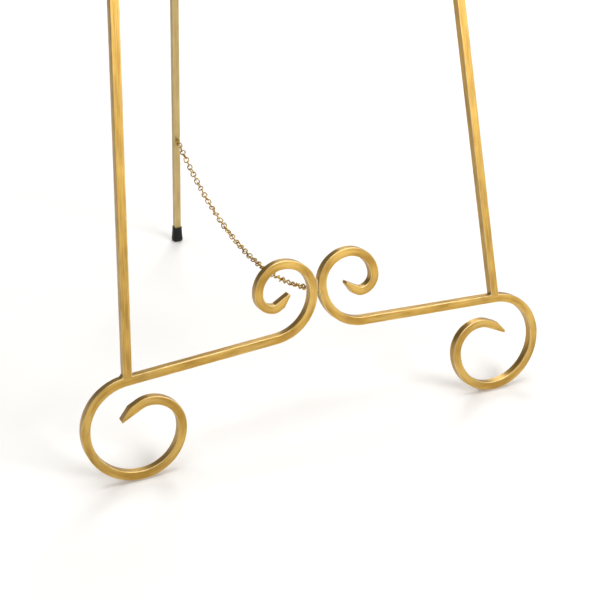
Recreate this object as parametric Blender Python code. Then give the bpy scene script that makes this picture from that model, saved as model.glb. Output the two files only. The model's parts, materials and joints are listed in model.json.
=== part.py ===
"""Scroll display easel: two square-bar front legs on a pair of S-scroll base bars, a hinged rear leg and a
slack safety chain between them.

The front frame is flat and leans back. Its own axes are X across, Y backwards through the bars' thickness
(0 at the front faces) and Z up the legs (0 at the rail's middle under the legs). The empty front_frame_axes
places that flat frame in the world. The empty rear_leg_pivot lies on the hinge axis, with its Z up the leg.
World axes: X across, +Y to the back, +Z up, origin on the floor in the middle of the whole stand.
All lengths are in metres.
"""

import bpy
import bmesh
import numpy as np
from math import atan2, cos, pi, radians, sin, tan
from mathutils import Matrix, Vector

# Driving dimensions
BAR = 0.0090                 # side of the front frame's square bar, over the lacquer
REAR_BAR = 0.0085            # side of the rear leg's bar
BAR_CHAMFER = 0.0007         # eased edge of the bar
GAP = 0.0003                 # joint gap between pieces that touch
LEAN = radians(11.14)        # the front frame leans back by this angle
LEG_CONVERGENCE = radians(5.27)
LEG_FOOT_X = 0.2043          # half the distance between the legs at the rail
RAIL_SLOPE = radians(2.98)   # each rail rises towards the middle
REAR_FOOT_BACK = 0.4735      # rear tip behind the rail's front face, along the floor
LEDGE_HEIGHT = 0.480         # up the legs
CROSSBAR_HEIGHT = 1.420
LEG_TOP_HEIGHT = 1.455

# Scrolls: radii of the quarter turns from the rail inwards, then the last turn and the straight beak
FOOT_RADII = (0.0489, 0.0511, 0.0451, 0.0298, 0.0248)
FOOT_LAST_TURN = radians(25.7)
FOOT_BEAK = (0.0230, 0.0139)    # straight end, and the part of it that is cut away on the outside
FOOT_START_X = 0.2052
CENTRE_RADII = (0.0456, 0.0304, 0.0280, 0.0156, 0.0067)
CENTRE_LAST_TURN = radians(28.9)
CENTRE_BEAK = (0.0175, 0.0114)
CENTRE_TOUCH_X = 0.00505     # middle of the bar where the two centre scrolls come closest
BEAK_TIP = 0.0028            # thickness left at the point of the beak
TURN_STEP = radians(9.0)     # arc covered by one facet of a bent bar
CREST_CENTRE_SCALE = 0.80
CREST_OUTER_SCALE = 0.48
CREST_SLOPE = radians(3.0)
CREST_OVERHANG = 0.0420      # straight crest rail outside the middle of the leg, clear of the curl

# Picture hooks
HOOK_X = 0.105
HOOK_REACH = 0.026
HOOK_BEND = 0.0120
HOOK_RISE = 0.006
HOOK_CURL = 0.0090
HOOK_CURL_TURN = radians(170.0)
HOOK_BEAK = 0.006

# Hinge
PLATE = 0.0020               # bracket sheet
WASHER = 0.0008
AXIS_BEHIND_WEB = 0.0100
LEG_OVER_AXIS = 0.0070
CHEEK_HALF_HEIGHT = 0.0085
BOLT_RADIUS = 0.0020
BOLT_HEAD_RADIUS = 0.0036
BOLT_HEAD_HEIGHT = 0.0026
NUT_FLATS = 0.0070
NUT_HEIGHT = 0.0032
BOLT_END = 0.0012            # thread that shows past the nut
ROUND_STEPS = 24
DOME_STEPS = 5
CHEEK_ROUNDING = 0.8 * CHEEK_HALF_HEIGHT
LEG_TOP_ROUNDING = 0.0025

# Rubber tip on the rear leg
TIP_HEIGHT = 0.0215
TIP_TOP_WIDTH = 0.0120
TIP_FOOT_WIDTH = 0.0142
TIP_TOP_CORNER = 0.0036
TIP_FOOT_CORNER = 0.0055
TIP_EDGE = 0.0022            # rounding at the floor
TIP_SOLE = 0.0040            # rubber under the end of the bar
TIP_LIP = 0.0006             # rounding at the mouth
SOCKET_CORNER = 0.0007
TIP_EDGE_SHARE = 0.3         # how far up the floor rounding its middle facet starts

# Chain and its eyes
EYE_WIRE = 0.0018
EYE_RADIUS = 0.0032          # middle of the wire
EYE_STEPS = 18
EYE_WIRE_STEPS = 10
FRONT_EYE_HEIGHT = 0.0495
REAR_EYE_HEIGHT = 0.1525     # above the floor
CHAIN_DIAMETER = 0.0070
CHAIN_STEP = 0.0085
CURVE_STEPS = 20             # fineness of the curve through the route's points
# Chain route behind the front frame, as (distance behind the rail's front face, height above the floor)
CHAIN_ROUTE = (
    (0.4425, 0.1507), (0.4250, 0.1429), (0.4000, 0.1329), (0.3700, 0.1229), (0.3400, 0.1149),
    (0.3100, 0.1089), (0.2800, 0.1049), (0.2500, 0.1027), (0.2200, 0.1026), (0.1900, 0.1043),
    (0.1600, 0.1080), (0.1300, 0.1136), (0.1000, 0.1212), (0.0750, 0.1290), (0.0500, 0.1383),
    (0.0268, 0.1487),
)

# Welds
BEAD = 0.0036                # leg length of a fillet bead
BEAD_MARGIN = 0.0008         # bead stops short of the bars' faces
BEAD_HOLLOW = 0.62           # 1 for a hollow quarter circle, 0.5 for a nearly flat bead
BEAD_FACETS = 5
CENTRE_WELD_HALF_HEIGHT = 0.0085
CENTRE_WELD_LEVELS = 9
CENTRE_WELD_ARC = radians(45.0)    # the bars' faces are followed this far either way

COLOURS = {
    "gold lacquer": ("C99F4A", 0.36, 0.9),
    "dark gold lacquer": ("BEA468", 0.48, 0.8),
    "brass chain": ("B08A3C", 0.34, 1.0),
    "weld": ("9C8654", 0.6, 0.8),
    "plated steel": ("B4A27C", 0.35, 1.0),
    "black rubber": ("1E1E22", 0.8, 0.0),
}


# Scene and materials

def clear_scene():
    """Remove what the start-up file brought along."""
    for old in list(bpy.data.objects):
        bpy.data.objects.remove(old, do_unlink=True)


def linear(channel):
    """One sRGB channel as linear light."""
    return channel / 12.92 if channel <= 0.04045 else ((channel + 0.055) / 1.055) ** 2.4


def make_material(name):
    """Principled material with the finish's colour, roughness and metallic value."""
    if name in bpy.data.materials:
        return bpy.data.materials[name]
    code, roughness, metallic = COLOURS[name]
    rgb = [linear(int(code[i:i + 2], 16) / 255.0) for i in (0, 2, 4)]
    material = bpy.data.materials.new(name)
    material.use_nodes = True
    shader = material.node_tree.nodes["Principled BSDF"]
    shader.inputs["Base Color"].default_value = (*rgb, 1.0)
    shader.inputs["Roughness"].default_value = roughness
    shader.inputs["Metallic"].default_value = metallic
    return material


def add_object(name, bm, finish, parent, smooth=False):
    """Turn a bmesh into a named object under a parent empty."""
    bmesh.ops.recalc_face_normals(bm, faces=bm.faces)
    mesh = bpy.data.meshes.new(name)
    bm.to_mesh(mesh)
    bm.free()
    mesh.materials.append(make_material(finish))
    if smooth:
        mesh.shade_smooth()
        mesh.set_sharp_from_angle(angle=radians(35.0))
    piece = bpy.data.objects.new(name, mesh)
    bpy.context.collection.objects.link(piece)
    piece.parent = parent
    return piece


def add_empty(name, location, turn_about_x):
    """Empty that carries one rigid body's own axes."""
    empty = bpy.data.objects.new(name, None)
    empty.location = location
    empty.rotation_euler = (turn_about_x, 0.0, 0.0)
    bpy.context.collection.objects.link(empty)
    return empty


# Flat paths and swept bars

def follow(start, heading, moves):
    """Path from straight runs and clockwise arcs. A move is ("run", length) or ("turn", radius, angle);
    a negative angle turns the other way. Returns the points as an array of (x, z)."""
    points = [np.array(start, dtype=float)]
    for move in moves:
        if move[0] == "run":
            points.append(points[-1] + move[1] * np.array([cos(heading), sin(heading)]))
            continue
        _, radius, angle = move
        side = 1.0 if angle > 0.0 else -1.0
        centre = points[-1] + radius * side * np.array([sin(heading), -cos(heading)])
        arm = points[-1] - centre
        steps = max(2, round(abs(angle) / TURN_STEP))
        for k in range(1, steps + 1):
            c, s = cos(angle * k / steps), sin(angle * k / steps)
            points.append(centre + np.array([c * arm[0] + s * arm[1], c * arm[1] - s * arm[0]]))
        heading -= angle
    return np.array(points)


def scroll_moves(radii, last_turn, beak, slope, scale):
    """Arcs of one scroll: four quarter turns, of which the first makes up for the slope, then the last one
    and the straight beak."""
    turns = [pi / 2 - slope, pi / 2, pi / 2, pi / 2, last_turn]
    moves = [("turn", radius * scale, turn) for radius, turn in zip(radii, turns)]
    length, bevel = beak
    return moves + [("run", (length - bevel) * scale), ("run", bevel * scale)]


def s_scroll_path(leg_x, leg_z, slope, outer_x, outer_scale, centre_scale):
    """Centreline of a right-hand S-scroll bar, from its outer beak over the rail to its centre beak."""
    centre_x = CENTRE_TOUCH_X + CENTRE_RADII[0] * centre_scale * (1 - sin(slope))
    outer_start = (outer_x, leg_z - (outer_x - leg_x) * tan(slope))
    centre_start = (centre_x, leg_z - (centre_x - leg_x) * tan(slope))
    outer_moves = scroll_moves(FOOT_RADII, FOOT_LAST_TURN, FOOT_BEAK, slope, outer_scale)
    centre_moves = scroll_moves(CENTRE_RADII, CENTRE_LAST_TURN, CENTRE_BEAK, slope, centre_scale)
    outer = follow(outer_start, -slope, outer_moves)
    centre = follow(centre_start, pi - slope, centre_moves)
    return np.vstack([outer[::-1], centre])


def path_normals(path):
    """Left-hand mitre normals of a flat path, lengthened so that the swept bar keeps its width."""
    edges = np.diff(path, axis=0)
    edges /= np.linalg.norm(edges, axis=1)[:, None]
    left = np.stack([-edges[:, 1], edges[:, 0]], axis=1)
    before = np.vstack([left[:1], left])
    after = np.vstack([left, left[-1:]])
    mitre = before + after
    mitre /= np.linalg.norm(mitre, axis=1)[:, None]
    return mitre / np.sum(mitre * after, axis=1)[:, None]


def bar_section(low, high, back):
    """Section of the bar with eased edges, as (across, back) points between the given sides."""
    c = min(BAR_CHAMFER, (high - low) / 4)
    return [
        (low + c, 0.0), (high - c, 0.0), (high, c), (high, back - c),
        (high - c, back), (low + c, back), (low, back - c), (low, c),
    ]


def skin_rings(rings):
    """Closed body through rings of equal length, with flat end caps."""
    bm = bmesh.new()
    made = [[bm.verts.new(p) for p in ring] for ring in rings]
    count = len(made[0])
    for lower, upper in zip(made, made[1:]):
        for i in range(count):
            j = (i + 1) % count
            bm.faces.new((lower[i], lower[j], upper[j], upper[i]))
    bm.faces.new(made[0][::-1])
    bm.faces.new(made[-1])
    return bm


def sweep_bar(path, beaks, place):
    """Square bar along a flat path. beaks holds, for the start and the end, which side of the path is cut
    away to the point: -1 for the left, 1 for the right, 0 for a square end. place(p, across, back) gives the
    point in space."""
    normals = path_normals(path)
    last = len(path) - 1
    rings = []
    for k, (point, normal) in enumerate(zip(path, normals)):
        low, high = -BAR / 2, BAR / 2
        beak = beaks[0] if k == 0 else beaks[1] if k == last else 0
        if beak < 0:
            high = low + BEAK_TIP
        elif beak > 0:
            low = high - BEAK_TIP
        rings.append([place(point, normal * across, back) for across, back in bar_section(low, high, BAR)])
    return skin_rings(rings)


def in_frame(side):
    """Placing rule for a path in the front frame's own plane, mirrored where side is -1."""
    def place(point, across, back):
        x, z = point + across
        return Vector((side * x, back, z))
    return place


# Front frame

def leg_x(height):
    """Middle of the right leg at a height up the legs."""
    return LEG_FOOT_X - height * tan(LEG_CONVERGENCE)


def rail_z(x):
    """Middle of the base rail at a distance from the middle plane."""
    return -(x - LEG_FOOT_X) * tan(RAIL_SLOPE)


BASE_PATH = s_scroll_path(LEG_FOOT_X, 0.0, RAIL_SLOPE, FOOT_START_X, 1.0, 1.0)
CREST_Z = LEG_TOP_HEIGHT + GAP + BAR / 2 / cos(CREST_SLOPE)
CREST_PATH = s_scroll_path(
    leg_x(LEG_TOP_HEIGHT), CREST_Z, CREST_SLOPE,
    leg_x(LEG_TOP_HEIGHT) + CREST_OVERHANG, CREST_OUTER_SCALE, CREST_CENTRE_SCALE,
)


def add_s_scroll(name, path, side, frame):
    """One S-scroll bar, with both beaks cut on the outside of the turn."""
    add_object(name, sweep_bar(path, (1, -1), in_frame(side)), "gold lacquer", frame)


def add_front_leg(name, side, frame):
    """Straight leg, cut at the foot to the slope of the rail and level at the top."""
    axis = Vector((-sin(LEG_CONVERGENCE), 0.0, cos(LEG_CONVERGENCE)))
    across = Vector((cos(LEG_CONVERGENCE), 0.0, sin(LEG_CONVERGENCE)))
    rail_top = BAR / 2 / cos(RAIL_SLOPE) + GAP
    rings = []
    for end in ("foot", "top"):
        ring = []
        for s, back in bar_section(-BAR / 2, BAR / 2, BAR):
            corner = Vector((LEG_FOOT_X, back, 0.0)) + across * s
            if end == "foot":
                rise = rail_z(corner.x) + rail_top - corner.z
                run = rise / (axis.z + axis.x * tan(RAIL_SLOPE))
            else:
                top = CREST_Z - BAR / 2 / cos(CREST_SLOPE) - GAP
                top_x = leg_x(LEG_TOP_HEIGHT)
                rise = top - (corner.x - top_x) * tan(CREST_SLOPE) - corner.z
                run = rise / (axis.z + axis.x * tan(CREST_SLOPE))
            p = corner + axis * run
            ring.append(Vector((side * p.x, p.y, p.z)))
        rings.append(ring)
    add_object(name, skin_rings(rings), "gold lacquer", frame)


def add_cross_bar(name, height, frame):
    """Level bar between the legs, its ends cut to the legs' inner faces."""
    rings = []
    for side in (-1, 1):
        ring = []
        for s, back in bar_section(-BAR / 2, BAR / 2, BAR):
            inner = leg_x(height + s) - BAR / 2 / cos(LEG_CONVERGENCE) - GAP
            ring.append(Vector((side * inner, back, height + s)))
        rings.append(ring)
    add_object(name, skin_rings(rings), "gold lacquer", frame)


def add_picture_hook(name, side, frame):
    """Hook in front of the ledge bar: level arm, upward bend and a lip that curls forwards to a beak."""
    path = follow(
        (GAP, LEDGE_HEIGHT), 0.0,
        [
            ("run", HOOK_REACH), ("turn", HOOK_BEND, -pi / 2), ("run", HOOK_RISE),
            ("turn", HOOK_CURL, HOOK_CURL_TURN), ("run", HOOK_BEAK),
        ],
    )

    def place(point, across, back):
        forward, z = point + across
        return Vector((side * HOOK_X + back - BAR / 2, -forward, z))

    add_object(name, sweep_bar(path, (0, -1), place), "gold lacquer", frame)


# Welds

def fillet_bead(name, corner, along, up, frame, depth=Vector((0.0, 1.0, 0.0))):
    """Concave fillet bead in the corner between two faces. corner is where the faces meet at one end of the
    bead, and along and up are unit vectors that lie on the two faces and point away from it. The bead runs
    along depth, through the bars' thickness."""
    start = corner + (along + up) * GAP
    outline = [start + along * BEAD]
    for k in range(1, BEAD_FACETS):
        a = pi / 2 * k / BEAD_FACETS
        out = BEAD * (1 - sin(a)) ** BEAD_HOLLOW
        high = BEAD * (1 - cos(a)) ** BEAD_HOLLOW
        outline.append(start + along * out + up * high)
    outline += [start + up * BEAD, start]
    rings = [[p + depth * distance for p in outline] for distance in (BEAD_MARGIN, BAR - BEAD_MARGIN)]
    add_object(name, skin_rings(rings), "weld", frame)


def add_leg_weld(name, side, frame):
    """Bead on the outside of a leg's foot, on top of the rail."""
    top = BAR / 2 / cos(RAIL_SLOPE)
    lean = tan(LEG_CONVERGENCE)
    x = LEG_FOOT_X + BAR / 2 / cos(LEG_CONVERGENCE) - top * lean
    corner = Vector((side * x, 0.0, rail_z(x) + top))
    along = Vector((side * cos(RAIL_SLOPE), 0.0, -sin(RAIL_SLOPE)))
    up = Vector((-side * sin(LEG_CONVERGENCE), 0.0, cos(LEG_CONVERGENCE)))
    fillet_bead(name, corner, along, up, frame)


def add_cross_weld(name, side, height, frame):
    """Bead under a cross bar, against a leg's inner face."""
    z = height - BAR / 2
    x = leg_x(z) - BAR / 2 / cos(LEG_CONVERGENCE)
    corner = Vector((side * x, 0.0, z))
    along = Vector((-side, 0.0, 0.0))
    down = Vector((side * sin(LEG_CONVERGENCE), 0.0, -cos(LEG_CONVERGENCE)))
    fillet_bead(name, corner, along, down, frame)


def add_crest_weld(name, side, frame):
    """Bead under the crest's rail, on the inside of a leg's top."""
    z = LEG_TOP_HEIGHT
    x = leg_x(z) - BAR / 2 / cos(LEG_CONVERGENCE)
    corner = Vector((side * x, 0.0, z + (leg_x(z) - x) * tan(CREST_SLOPE)))
    along = Vector((-side * cos(CREST_SLOPE), 0.0, sin(CREST_SLOPE)))
    down = Vector((side * sin(LEG_CONVERGENCE), 0.0, -cos(LEG_CONVERGENCE)))
    fillet_bead(name, corner, along, down, frame)


def add_hook_weld(name, side, frame):
    """Bead under a picture hook, against the front of the ledge bar."""
    corner = Vector((side * HOOK_X - BAR / 2, 0.0, LEDGE_HEIGHT - BAR / 2))
    forward = Vector((0.0, -1.0, 0.0))
    down = Vector((0.0, 0.0, -1.0))
    fillet_bead(name, corner, forward, down, frame, depth=Vector((1.0, 0.0, 0.0)))


def add_centre_weld(name, path, half_height, frame):
    """Weld that fills the narrow wedge between two mirrored scrolls where they come closest."""
    face = path + path_normals(path) * BAR / 2
    closest = int(np.argmin(face[:, 0]))
    reach = int(CENTRE_WELD_ARC / TURN_STEP)
    face = face[closest - reach:closest + reach + 1]
    face = face[np.argsort(face[:, 1])]
    height = path[closest][1]
    front, back = BEAD_MARGIN, BAR - BEAD_MARGIN / 2
    rings = []
    for z in np.linspace(height - half_height, height + half_height, CENTRE_WELD_LEVELS):
        half = float(np.interp(z, face[:, 1], face[:, 0])) - GAP
        corners = ((-half, front), (half, front), (half, back), (-half, back))
        rings.append([Vector((x, y, z)) for x, y in corners])
    add_object(name, skin_rings(rings), "weld", frame)


# Turned pieces and holes

def turned(profile, axis_matrix, steps=ROUND_STEPS):
    """Body of revolution. profile is a list of (along, radius) from one pole to the other, where a radius of
    0 closes the body; a profile whose last point repeats the first makes a ring."""
    ring_like = profile[0] == profile[-1]
    rows = profile[:-1] if ring_like else profile
    bm = bmesh.new()
    made = []
    for along, radius in rows:
        if radius == 0.0:
            made.append([bm.verts.new(axis_matrix @ Vector((0.0, 0.0, along)))])
            continue
        ring = []
        for k in range(steps):
            a = 2 * pi * k / steps
            ring.append(bm.verts.new(axis_matrix @ Vector((radius * cos(a), radius * sin(a), along))))
        made.append(ring)
    pairs = list(zip(made, made[1:] + made[:1])) if ring_like else list(zip(made, made[1:]))
    for lower, upper in pairs:
        for i in range(steps):
            j = (i + 1) % steps
            if len(lower) == 1:
                bm.faces.new((lower[0], upper[j], upper[i]))
            elif len(upper) == 1:
                bm.faces.new((lower[i], lower[j], upper[0]))
            else:
                bm.faces.new((lower[i], lower[j], upper[j], upper[i]))
    return bm


ALONG_X = Matrix.Rotation(pi / 2, 4, "Y")


def cut_round_hole(piece, centre, radius, length):
    """Drill a hole along X through a piece, at a place given in the piece's own axes."""
    bm = turned([(-length / 2, 0.0), (-length / 2, radius), (length / 2, radius), (length / 2, 0.0)],
                Matrix.Translation(centre) @ ALONG_X)
    cutter = add_object(piece.name + "_drill", bm, "plated steel", piece.parent)
    cutter.hide_render = True
    cutter.display_type = "WIRE"
    cut = piece.modifiers.new("drill", "BOOLEAN")
    cut.operation = "DIFFERENCE"
    cut.object = cutter
    cut.solver = "EXACT"


# Hinge

WEB_FRONT = BAR + GAP
AXIS_BACK = WEB_FRONT + PLATE + AXIS_BEHIND_WEB
CHEEK_INNER = REAR_BAR / 2 + WASHER + 2 * GAP
CHEEK_OUTER = CHEEK_INNER + PLATE
HOLE_RADIUS = BOLT_RADIUS + GAP
CHEEK_BACK = AXIS_BACK + CHEEK_HALF_HEIGHT


def add_hinge_bracket(frame):
    """Channel of bent sheet: a web on the crossbar's back and two cheeks that hold the bolt."""
    outline = [
        (-CHEEK_OUTER, WEB_FRONT), (CHEEK_OUTER, WEB_FRONT),
        (CHEEK_OUTER, CHEEK_BACK), (CHEEK_INNER, CHEEK_BACK),
        (CHEEK_INNER, WEB_FRONT + PLATE), (-CHEEK_INNER, WEB_FRONT + PLATE),
        (-CHEEK_INNER, CHEEK_BACK), (-CHEEK_OUTER, CHEEK_BACK),
    ]
    levels = (CROSSBAR_HEIGHT - CHEEK_HALF_HEIGHT, CROSSBAR_HEIGHT + CHEEK_HALF_HEIGHT)
    bm = skin_rings([[Vector((x, y, z)) for x, y in outline] for z in levels])
    corners = [e for e in bm.edges if all(v.co.y > CHEEK_BACK - GAP for v in e.verts)
               and abs(e.verts[0].co.z - e.verts[1].co.z) < GAP]
    bmesh.ops.bevel(bm, geom=corners, offset=CHEEK_ROUNDING, segments=DOME_STEPS, profile=0.5, affect="EDGES")
    bracket = add_object("hinge_bracket", bm, "gold lacquer", frame)
    cut_round_hole(bracket, Vector((0.0, AXIS_BACK, CROSSBAR_HEIGHT)), HOLE_RADIUS, 4 * CHEEK_OUTER)


def hinge_matrix():
    """Axes with Z along the hinge bolt, in the front frame."""
    return Matrix.Translation((0.0, AXIS_BACK, CROSSBAR_HEIGHT)) @ ALONG_X


def add_hinge_bolt(frame):
    """Domed bolt, its head outside the right cheek."""
    head = CHEEK_OUTER + GAP
    end = -(CHEEK_OUTER + GAP + NUT_HEIGHT + BOLT_END)
    profile = [
        (end, 0.0), (end, BOLT_RADIUS - GAP), (end + 2 * GAP, BOLT_RADIUS), (head, BOLT_RADIUS),
        (head, BOLT_HEAD_RADIUS),
    ]
    for k in range(1, DOME_STEPS):
        a = pi / 2 * k / DOME_STEPS
        profile.append((head + BOLT_HEAD_HEIGHT * sin(a), BOLT_HEAD_RADIUS * cos(a)))
    profile.append((head + BOLT_HEAD_HEIGHT, 0.0))
    add_object("hinge_bolt", turned(profile, hinge_matrix()), "plated steel", frame, smooth=True)


def add_hinge_nut(frame):
    """Six-sided nut outside the left cheek."""
    outer = NUT_FLATS / 2 / cos(pi / 6)
    first = -(CHEEK_OUTER + GAP + NUT_HEIGHT)
    last = -(CHEEK_OUTER + GAP)
    profile = [(first, HOLE_RADIUS), (first, outer), (last, outer), (last, HOLE_RADIUS), (first, HOLE_RADIUS)]
    add_object("hinge_nut", turned(profile, hinge_matrix(), steps=6), "plated steel", frame)


def add_hinge_washer(name, side, frame):
    """Thin washer between the leg and a cheek."""
    inner = REAR_BAR / 2 + GAP
    first, last = sorted((side * inner, side * (inner + WASHER)))
    rim = 2 * BOLT_RADIUS
    profile = [(first, HOLE_RADIUS), (first, rim), (last, rim), (last, HOLE_RADIUS), (first, HOLE_RADIUS)]
    add_object(name, turned(profile, hinge_matrix()), "plated steel", frame, smooth=True)


# Rear leg, in the axes of rear_leg_pivot

def pivot_z_at(height, y, pivot):
    """Distance up the pivot's own Z of the point at a world height, for a given distance back."""
    turn = pivot.rotation_euler.x
    return (height - pivot.location.z - y * sin(turn)) / cos(turn)


def add_rear_leg(pivot):
    """Straight bar from inside the rubber tip to just above the hinge bolt."""
    rings = []
    for end in (0, 1):
        ring = []
        for x, back in bar_section(-REAR_BAR / 2, REAR_BAR / 2, REAR_BAR):
            y = back - REAR_BAR / 2
            z = pivot_z_at(TIP_SOLE + GAP, y, pivot) if end == 0 else LEG_OVER_AXIS
            ring.append(Vector((x, y, z)))
        rings.append(ring)
    bm = skin_rings(rings)
    top = [e for e in bm.edges if all(v.co.z > LEG_OVER_AXIS - GAP for v in e.verts)
           and abs(e.verts[0].co.y - e.verts[1].co.y) < GAP and abs(e.verts[0].co.y) > REAR_BAR / 2 - GAP]
    bmesh.ops.bevel(bm, geom=top, offset=LEG_TOP_ROUNDING, segments=3, profile=0.5, affect="EDGES")
    leg = add_object("rear_leg", bm, "dark gold lacquer", pivot)
    cut_round_hole(leg, Vector((0.0, 0.0, 0.0)), HOLE_RADIUS, 4 * REAR_BAR)


def rounded_square(width, corner, steps=4):
    """Square outline with round corners, as (x, y) points."""
    outline = []
    for quarter in range(4):
        for k in range(steps + 1):
            a = pi / 2 * (quarter + k / steps)
            cx = (width / 2 - corner) * (1 if quarter in (0, 3) else -1)
            cy = (width / 2 - corner) * (1 if quarter in (0, 1) else -1)
            outline.append((cx + corner * cos(a), cy + corner * sin(a)))
    return outline


def add_rear_tip(pivot):
    """Rubber cup pushed over the end of the bar, flared to a flat sole that lies level on the floor."""
    socket = REAR_BAR + 2 * GAP
    low = TIP_EDGE_SHARE * TIP_EDGE
    levels = [
        (0.0, TIP_FOOT_WIDTH - 2 * TIP_EDGE, TIP_FOOT_CORNER - TIP_EDGE),
        (low, TIP_FOOT_WIDTH - 2 * low, TIP_FOOT_CORNER - low),
        (TIP_EDGE, TIP_FOOT_WIDTH, TIP_FOOT_CORNER),
        (TIP_HEIGHT - TIP_LIP, TIP_TOP_WIDTH, TIP_TOP_CORNER),
        (TIP_HEIGHT, TIP_TOP_WIDTH - 2 * TIP_LIP, TIP_TOP_CORNER - TIP_LIP),
        (TIP_HEIGHT, socket, SOCKET_CORNER),
        (TIP_SOLE, socket, SOCKET_CORNER),
    ]
    rings = []
    for height, width, corner in levels:
        rings.append([Vector((x, y, pivot_z_at(height, y, pivot))) for x, y in rounded_square(width, corner)])
    add_object("rear_leg_tip", skin_rings(rings), "black rubber", pivot)


# Chain and eyes

def eye_ring(centre):
    """Small wire ring that stands in the middle plane."""
    profile = []
    for k in range(EYE_WIRE_STEPS):
        a = 2 * pi * k / EYE_WIRE_STEPS
        profile.append((EYE_WIRE / 2 * sin(a), EYE_RADIUS + EYE_WIRE / 2 * cos(a)))
    profile.append(profile[0])
    return turned(profile, Matrix.Translation(centre) @ ALONG_X, steps=EYE_STEPS)


def add_eyes(frame, pivot):
    """One eye behind the weld of the base scrolls and one on the front of the rear leg."""
    reach = EYE_RADIUS + EYE_WIRE / 2 + GAP
    front_ring = eye_ring(Vector((0.0, BAR + reach, FRONT_EYE_HEIGHT)))
    add_object("front_chain_eye", front_ring, "brass chain", frame, True)
    y = -REAR_BAR / 2 - reach
    z = pivot_z_at(REAR_EYE_HEIGHT, y, pivot)
    add_object("rear_chain_eye", eye_ring(Vector((0.0, y, z))), "brass chain", pivot, True)


def smooth_route(points, step):
    """Even points along the Catmull-Rom curve through a route's points."""
    knots = np.array(points)
    knots = np.vstack([2 * knots[0] - knots[1], knots, 2 * knots[-1] - knots[-2]])
    curve = []
    for p0, p1, p2, p3 in zip(knots, knots[1:], knots[2:], knots[3:]):
        for t in np.linspace(0.0, 1.0, CURVE_STEPS, endpoint=False):
            curve.append(0.5 * (2 * p1 + (p2 - p0) * t + (2 * p0 - 5 * p1 + 4 * p2 - p3) * t ** 2
                                + (3 * p1 - p0 - 3 * p2 + p3) * t ** 3))
    curve.append(knots[-2])
    curve = np.array(curve)
    run = np.concatenate([[0.0], np.cumsum(np.linalg.norm(np.diff(curve, axis=0), axis=1))])
    count = max(2, round(run[-1] / step) + 1)
    places = np.linspace(0.0, run[-1], count)
    return np.stack([np.interp(places, run, curve[:, k]) for k in range(3)], axis=1)


def add_chain(frame):
    """The slack chain as a plain tube, hanging between the two eyes."""
    points = [(0.0, frame.location.y + back, height) for back, height in CHAIN_ROUTE]
    route = smooth_route(points, CHAIN_STEP)
    curve = bpy.data.curves.new("chain", "CURVE")
    curve.dimensions = "3D"
    curve.bevel_depth = CHAIN_DIAMETER / 2
    curve.bevel_resolution = 2
    curve.use_fill_caps = True
    spline = curve.splines.new("POLY")
    spline.points.add(len(route) - 1)
    for point, place in zip(spline.points, route):
        point.co = (*place, 1.0)
    curve.materials.append(make_material("brass chain"))
    chain = bpy.data.objects.new("chain", curve)
    bpy.context.collection.objects.link(chain)


# Assembly

def place_bodies():
    """Stand the frame so that the scrolls' back edges and the rear tip touch the floor, centred front to
    back."""
    outer_face = BASE_PATH - path_normals(BASE_PATH) * BAR / 2
    lowest = float(outer_face[:, 1].min())
    rail_height = (BAR - BAR_CHAMFER) * sin(LEAN) - lowest * cos(LEAN)
    axis_y = CROSSBAR_HEIGHT * sin(LEAN) + AXIS_BACK * cos(LEAN)
    axis_z = rail_height + CROSSBAR_HEIGHT * cos(LEAN) - AXIS_BACK * sin(LEAN)
    rear_turn = atan2(REAR_FOOT_BACK - axis_y, axis_z)
    front = (lowest + BAR_CHAMFER) * sin(LEAN)
    back = REAR_FOOT_BACK + TIP_FOOT_WIDTH / 2 / cos(rear_turn) - TIP_EDGE * tan(rear_turn)
    middle = (front + back) / 2
    frame = add_empty("front_frame_axes", (0.0, -middle, rail_height), -LEAN)
    pivot = add_empty("rear_leg_pivot", (0.0, axis_y - middle, axis_z), rear_turn)
    return frame, pivot


def build():
    """Make every piece of the easel."""
    clear_scene()
    frame, pivot = place_bodies()
    for word, side in (("left", -1), ("right", 1)):
        add_s_scroll(f"{word}_base_scroll", BASE_PATH, side, frame)
        add_front_leg(f"{word}_front_leg", side, frame)
        add_leg_weld(f"{word}_leg_weld", side, frame)
        add_picture_hook(f"{word}_picture_hook", side, frame)
        add_hook_weld(f"{word}_hook_weld", side, frame)
        add_cross_weld(f"{word}_ledge_weld", side, LEDGE_HEIGHT, frame)
        add_cross_weld(f"{word}_crossbar_weld", side, CROSSBAR_HEIGHT, frame)
        add_s_scroll(f"{word}_crest_scroll", CREST_PATH, side, frame)
        add_crest_weld(f"{word}_crest_weld", side, frame)
        add_hinge_washer(f"hinge_washer_{word}", side, frame)
    add_cross_bar("ledge_bar", LEDGE_HEIGHT, frame)
    add_cross_bar("top_crossbar", CROSSBAR_HEIGHT, frame)
    add_centre_weld("base_centre_weld", BASE_PATH, CENTRE_WELD_HALF_HEIGHT, frame)
    add_centre_weld("crest_centre_weld", CREST_PATH, CENTRE_WELD_HALF_HEIGHT * CREST_CENTRE_SCALE, frame)
    add_hinge_bracket(frame)
    add_hinge_bolt(frame)
    add_hinge_nut(frame)
    add_rear_leg(pivot)
    add_rear_tip(pivot)
    add_eyes(frame, pivot)
    add_chain(frame)


build()
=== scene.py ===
"""Looks of the scroll display easel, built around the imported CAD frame.

The front frame is flat and leans back. Its own axes are X across, Y backwards through the bar (0 at the front
faces) and Z up the legs (0 at the rail's middle under the legs). All lengths are in metres.
"""

import json
from math import atan2, cos, pi, radians, sin, tan

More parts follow.
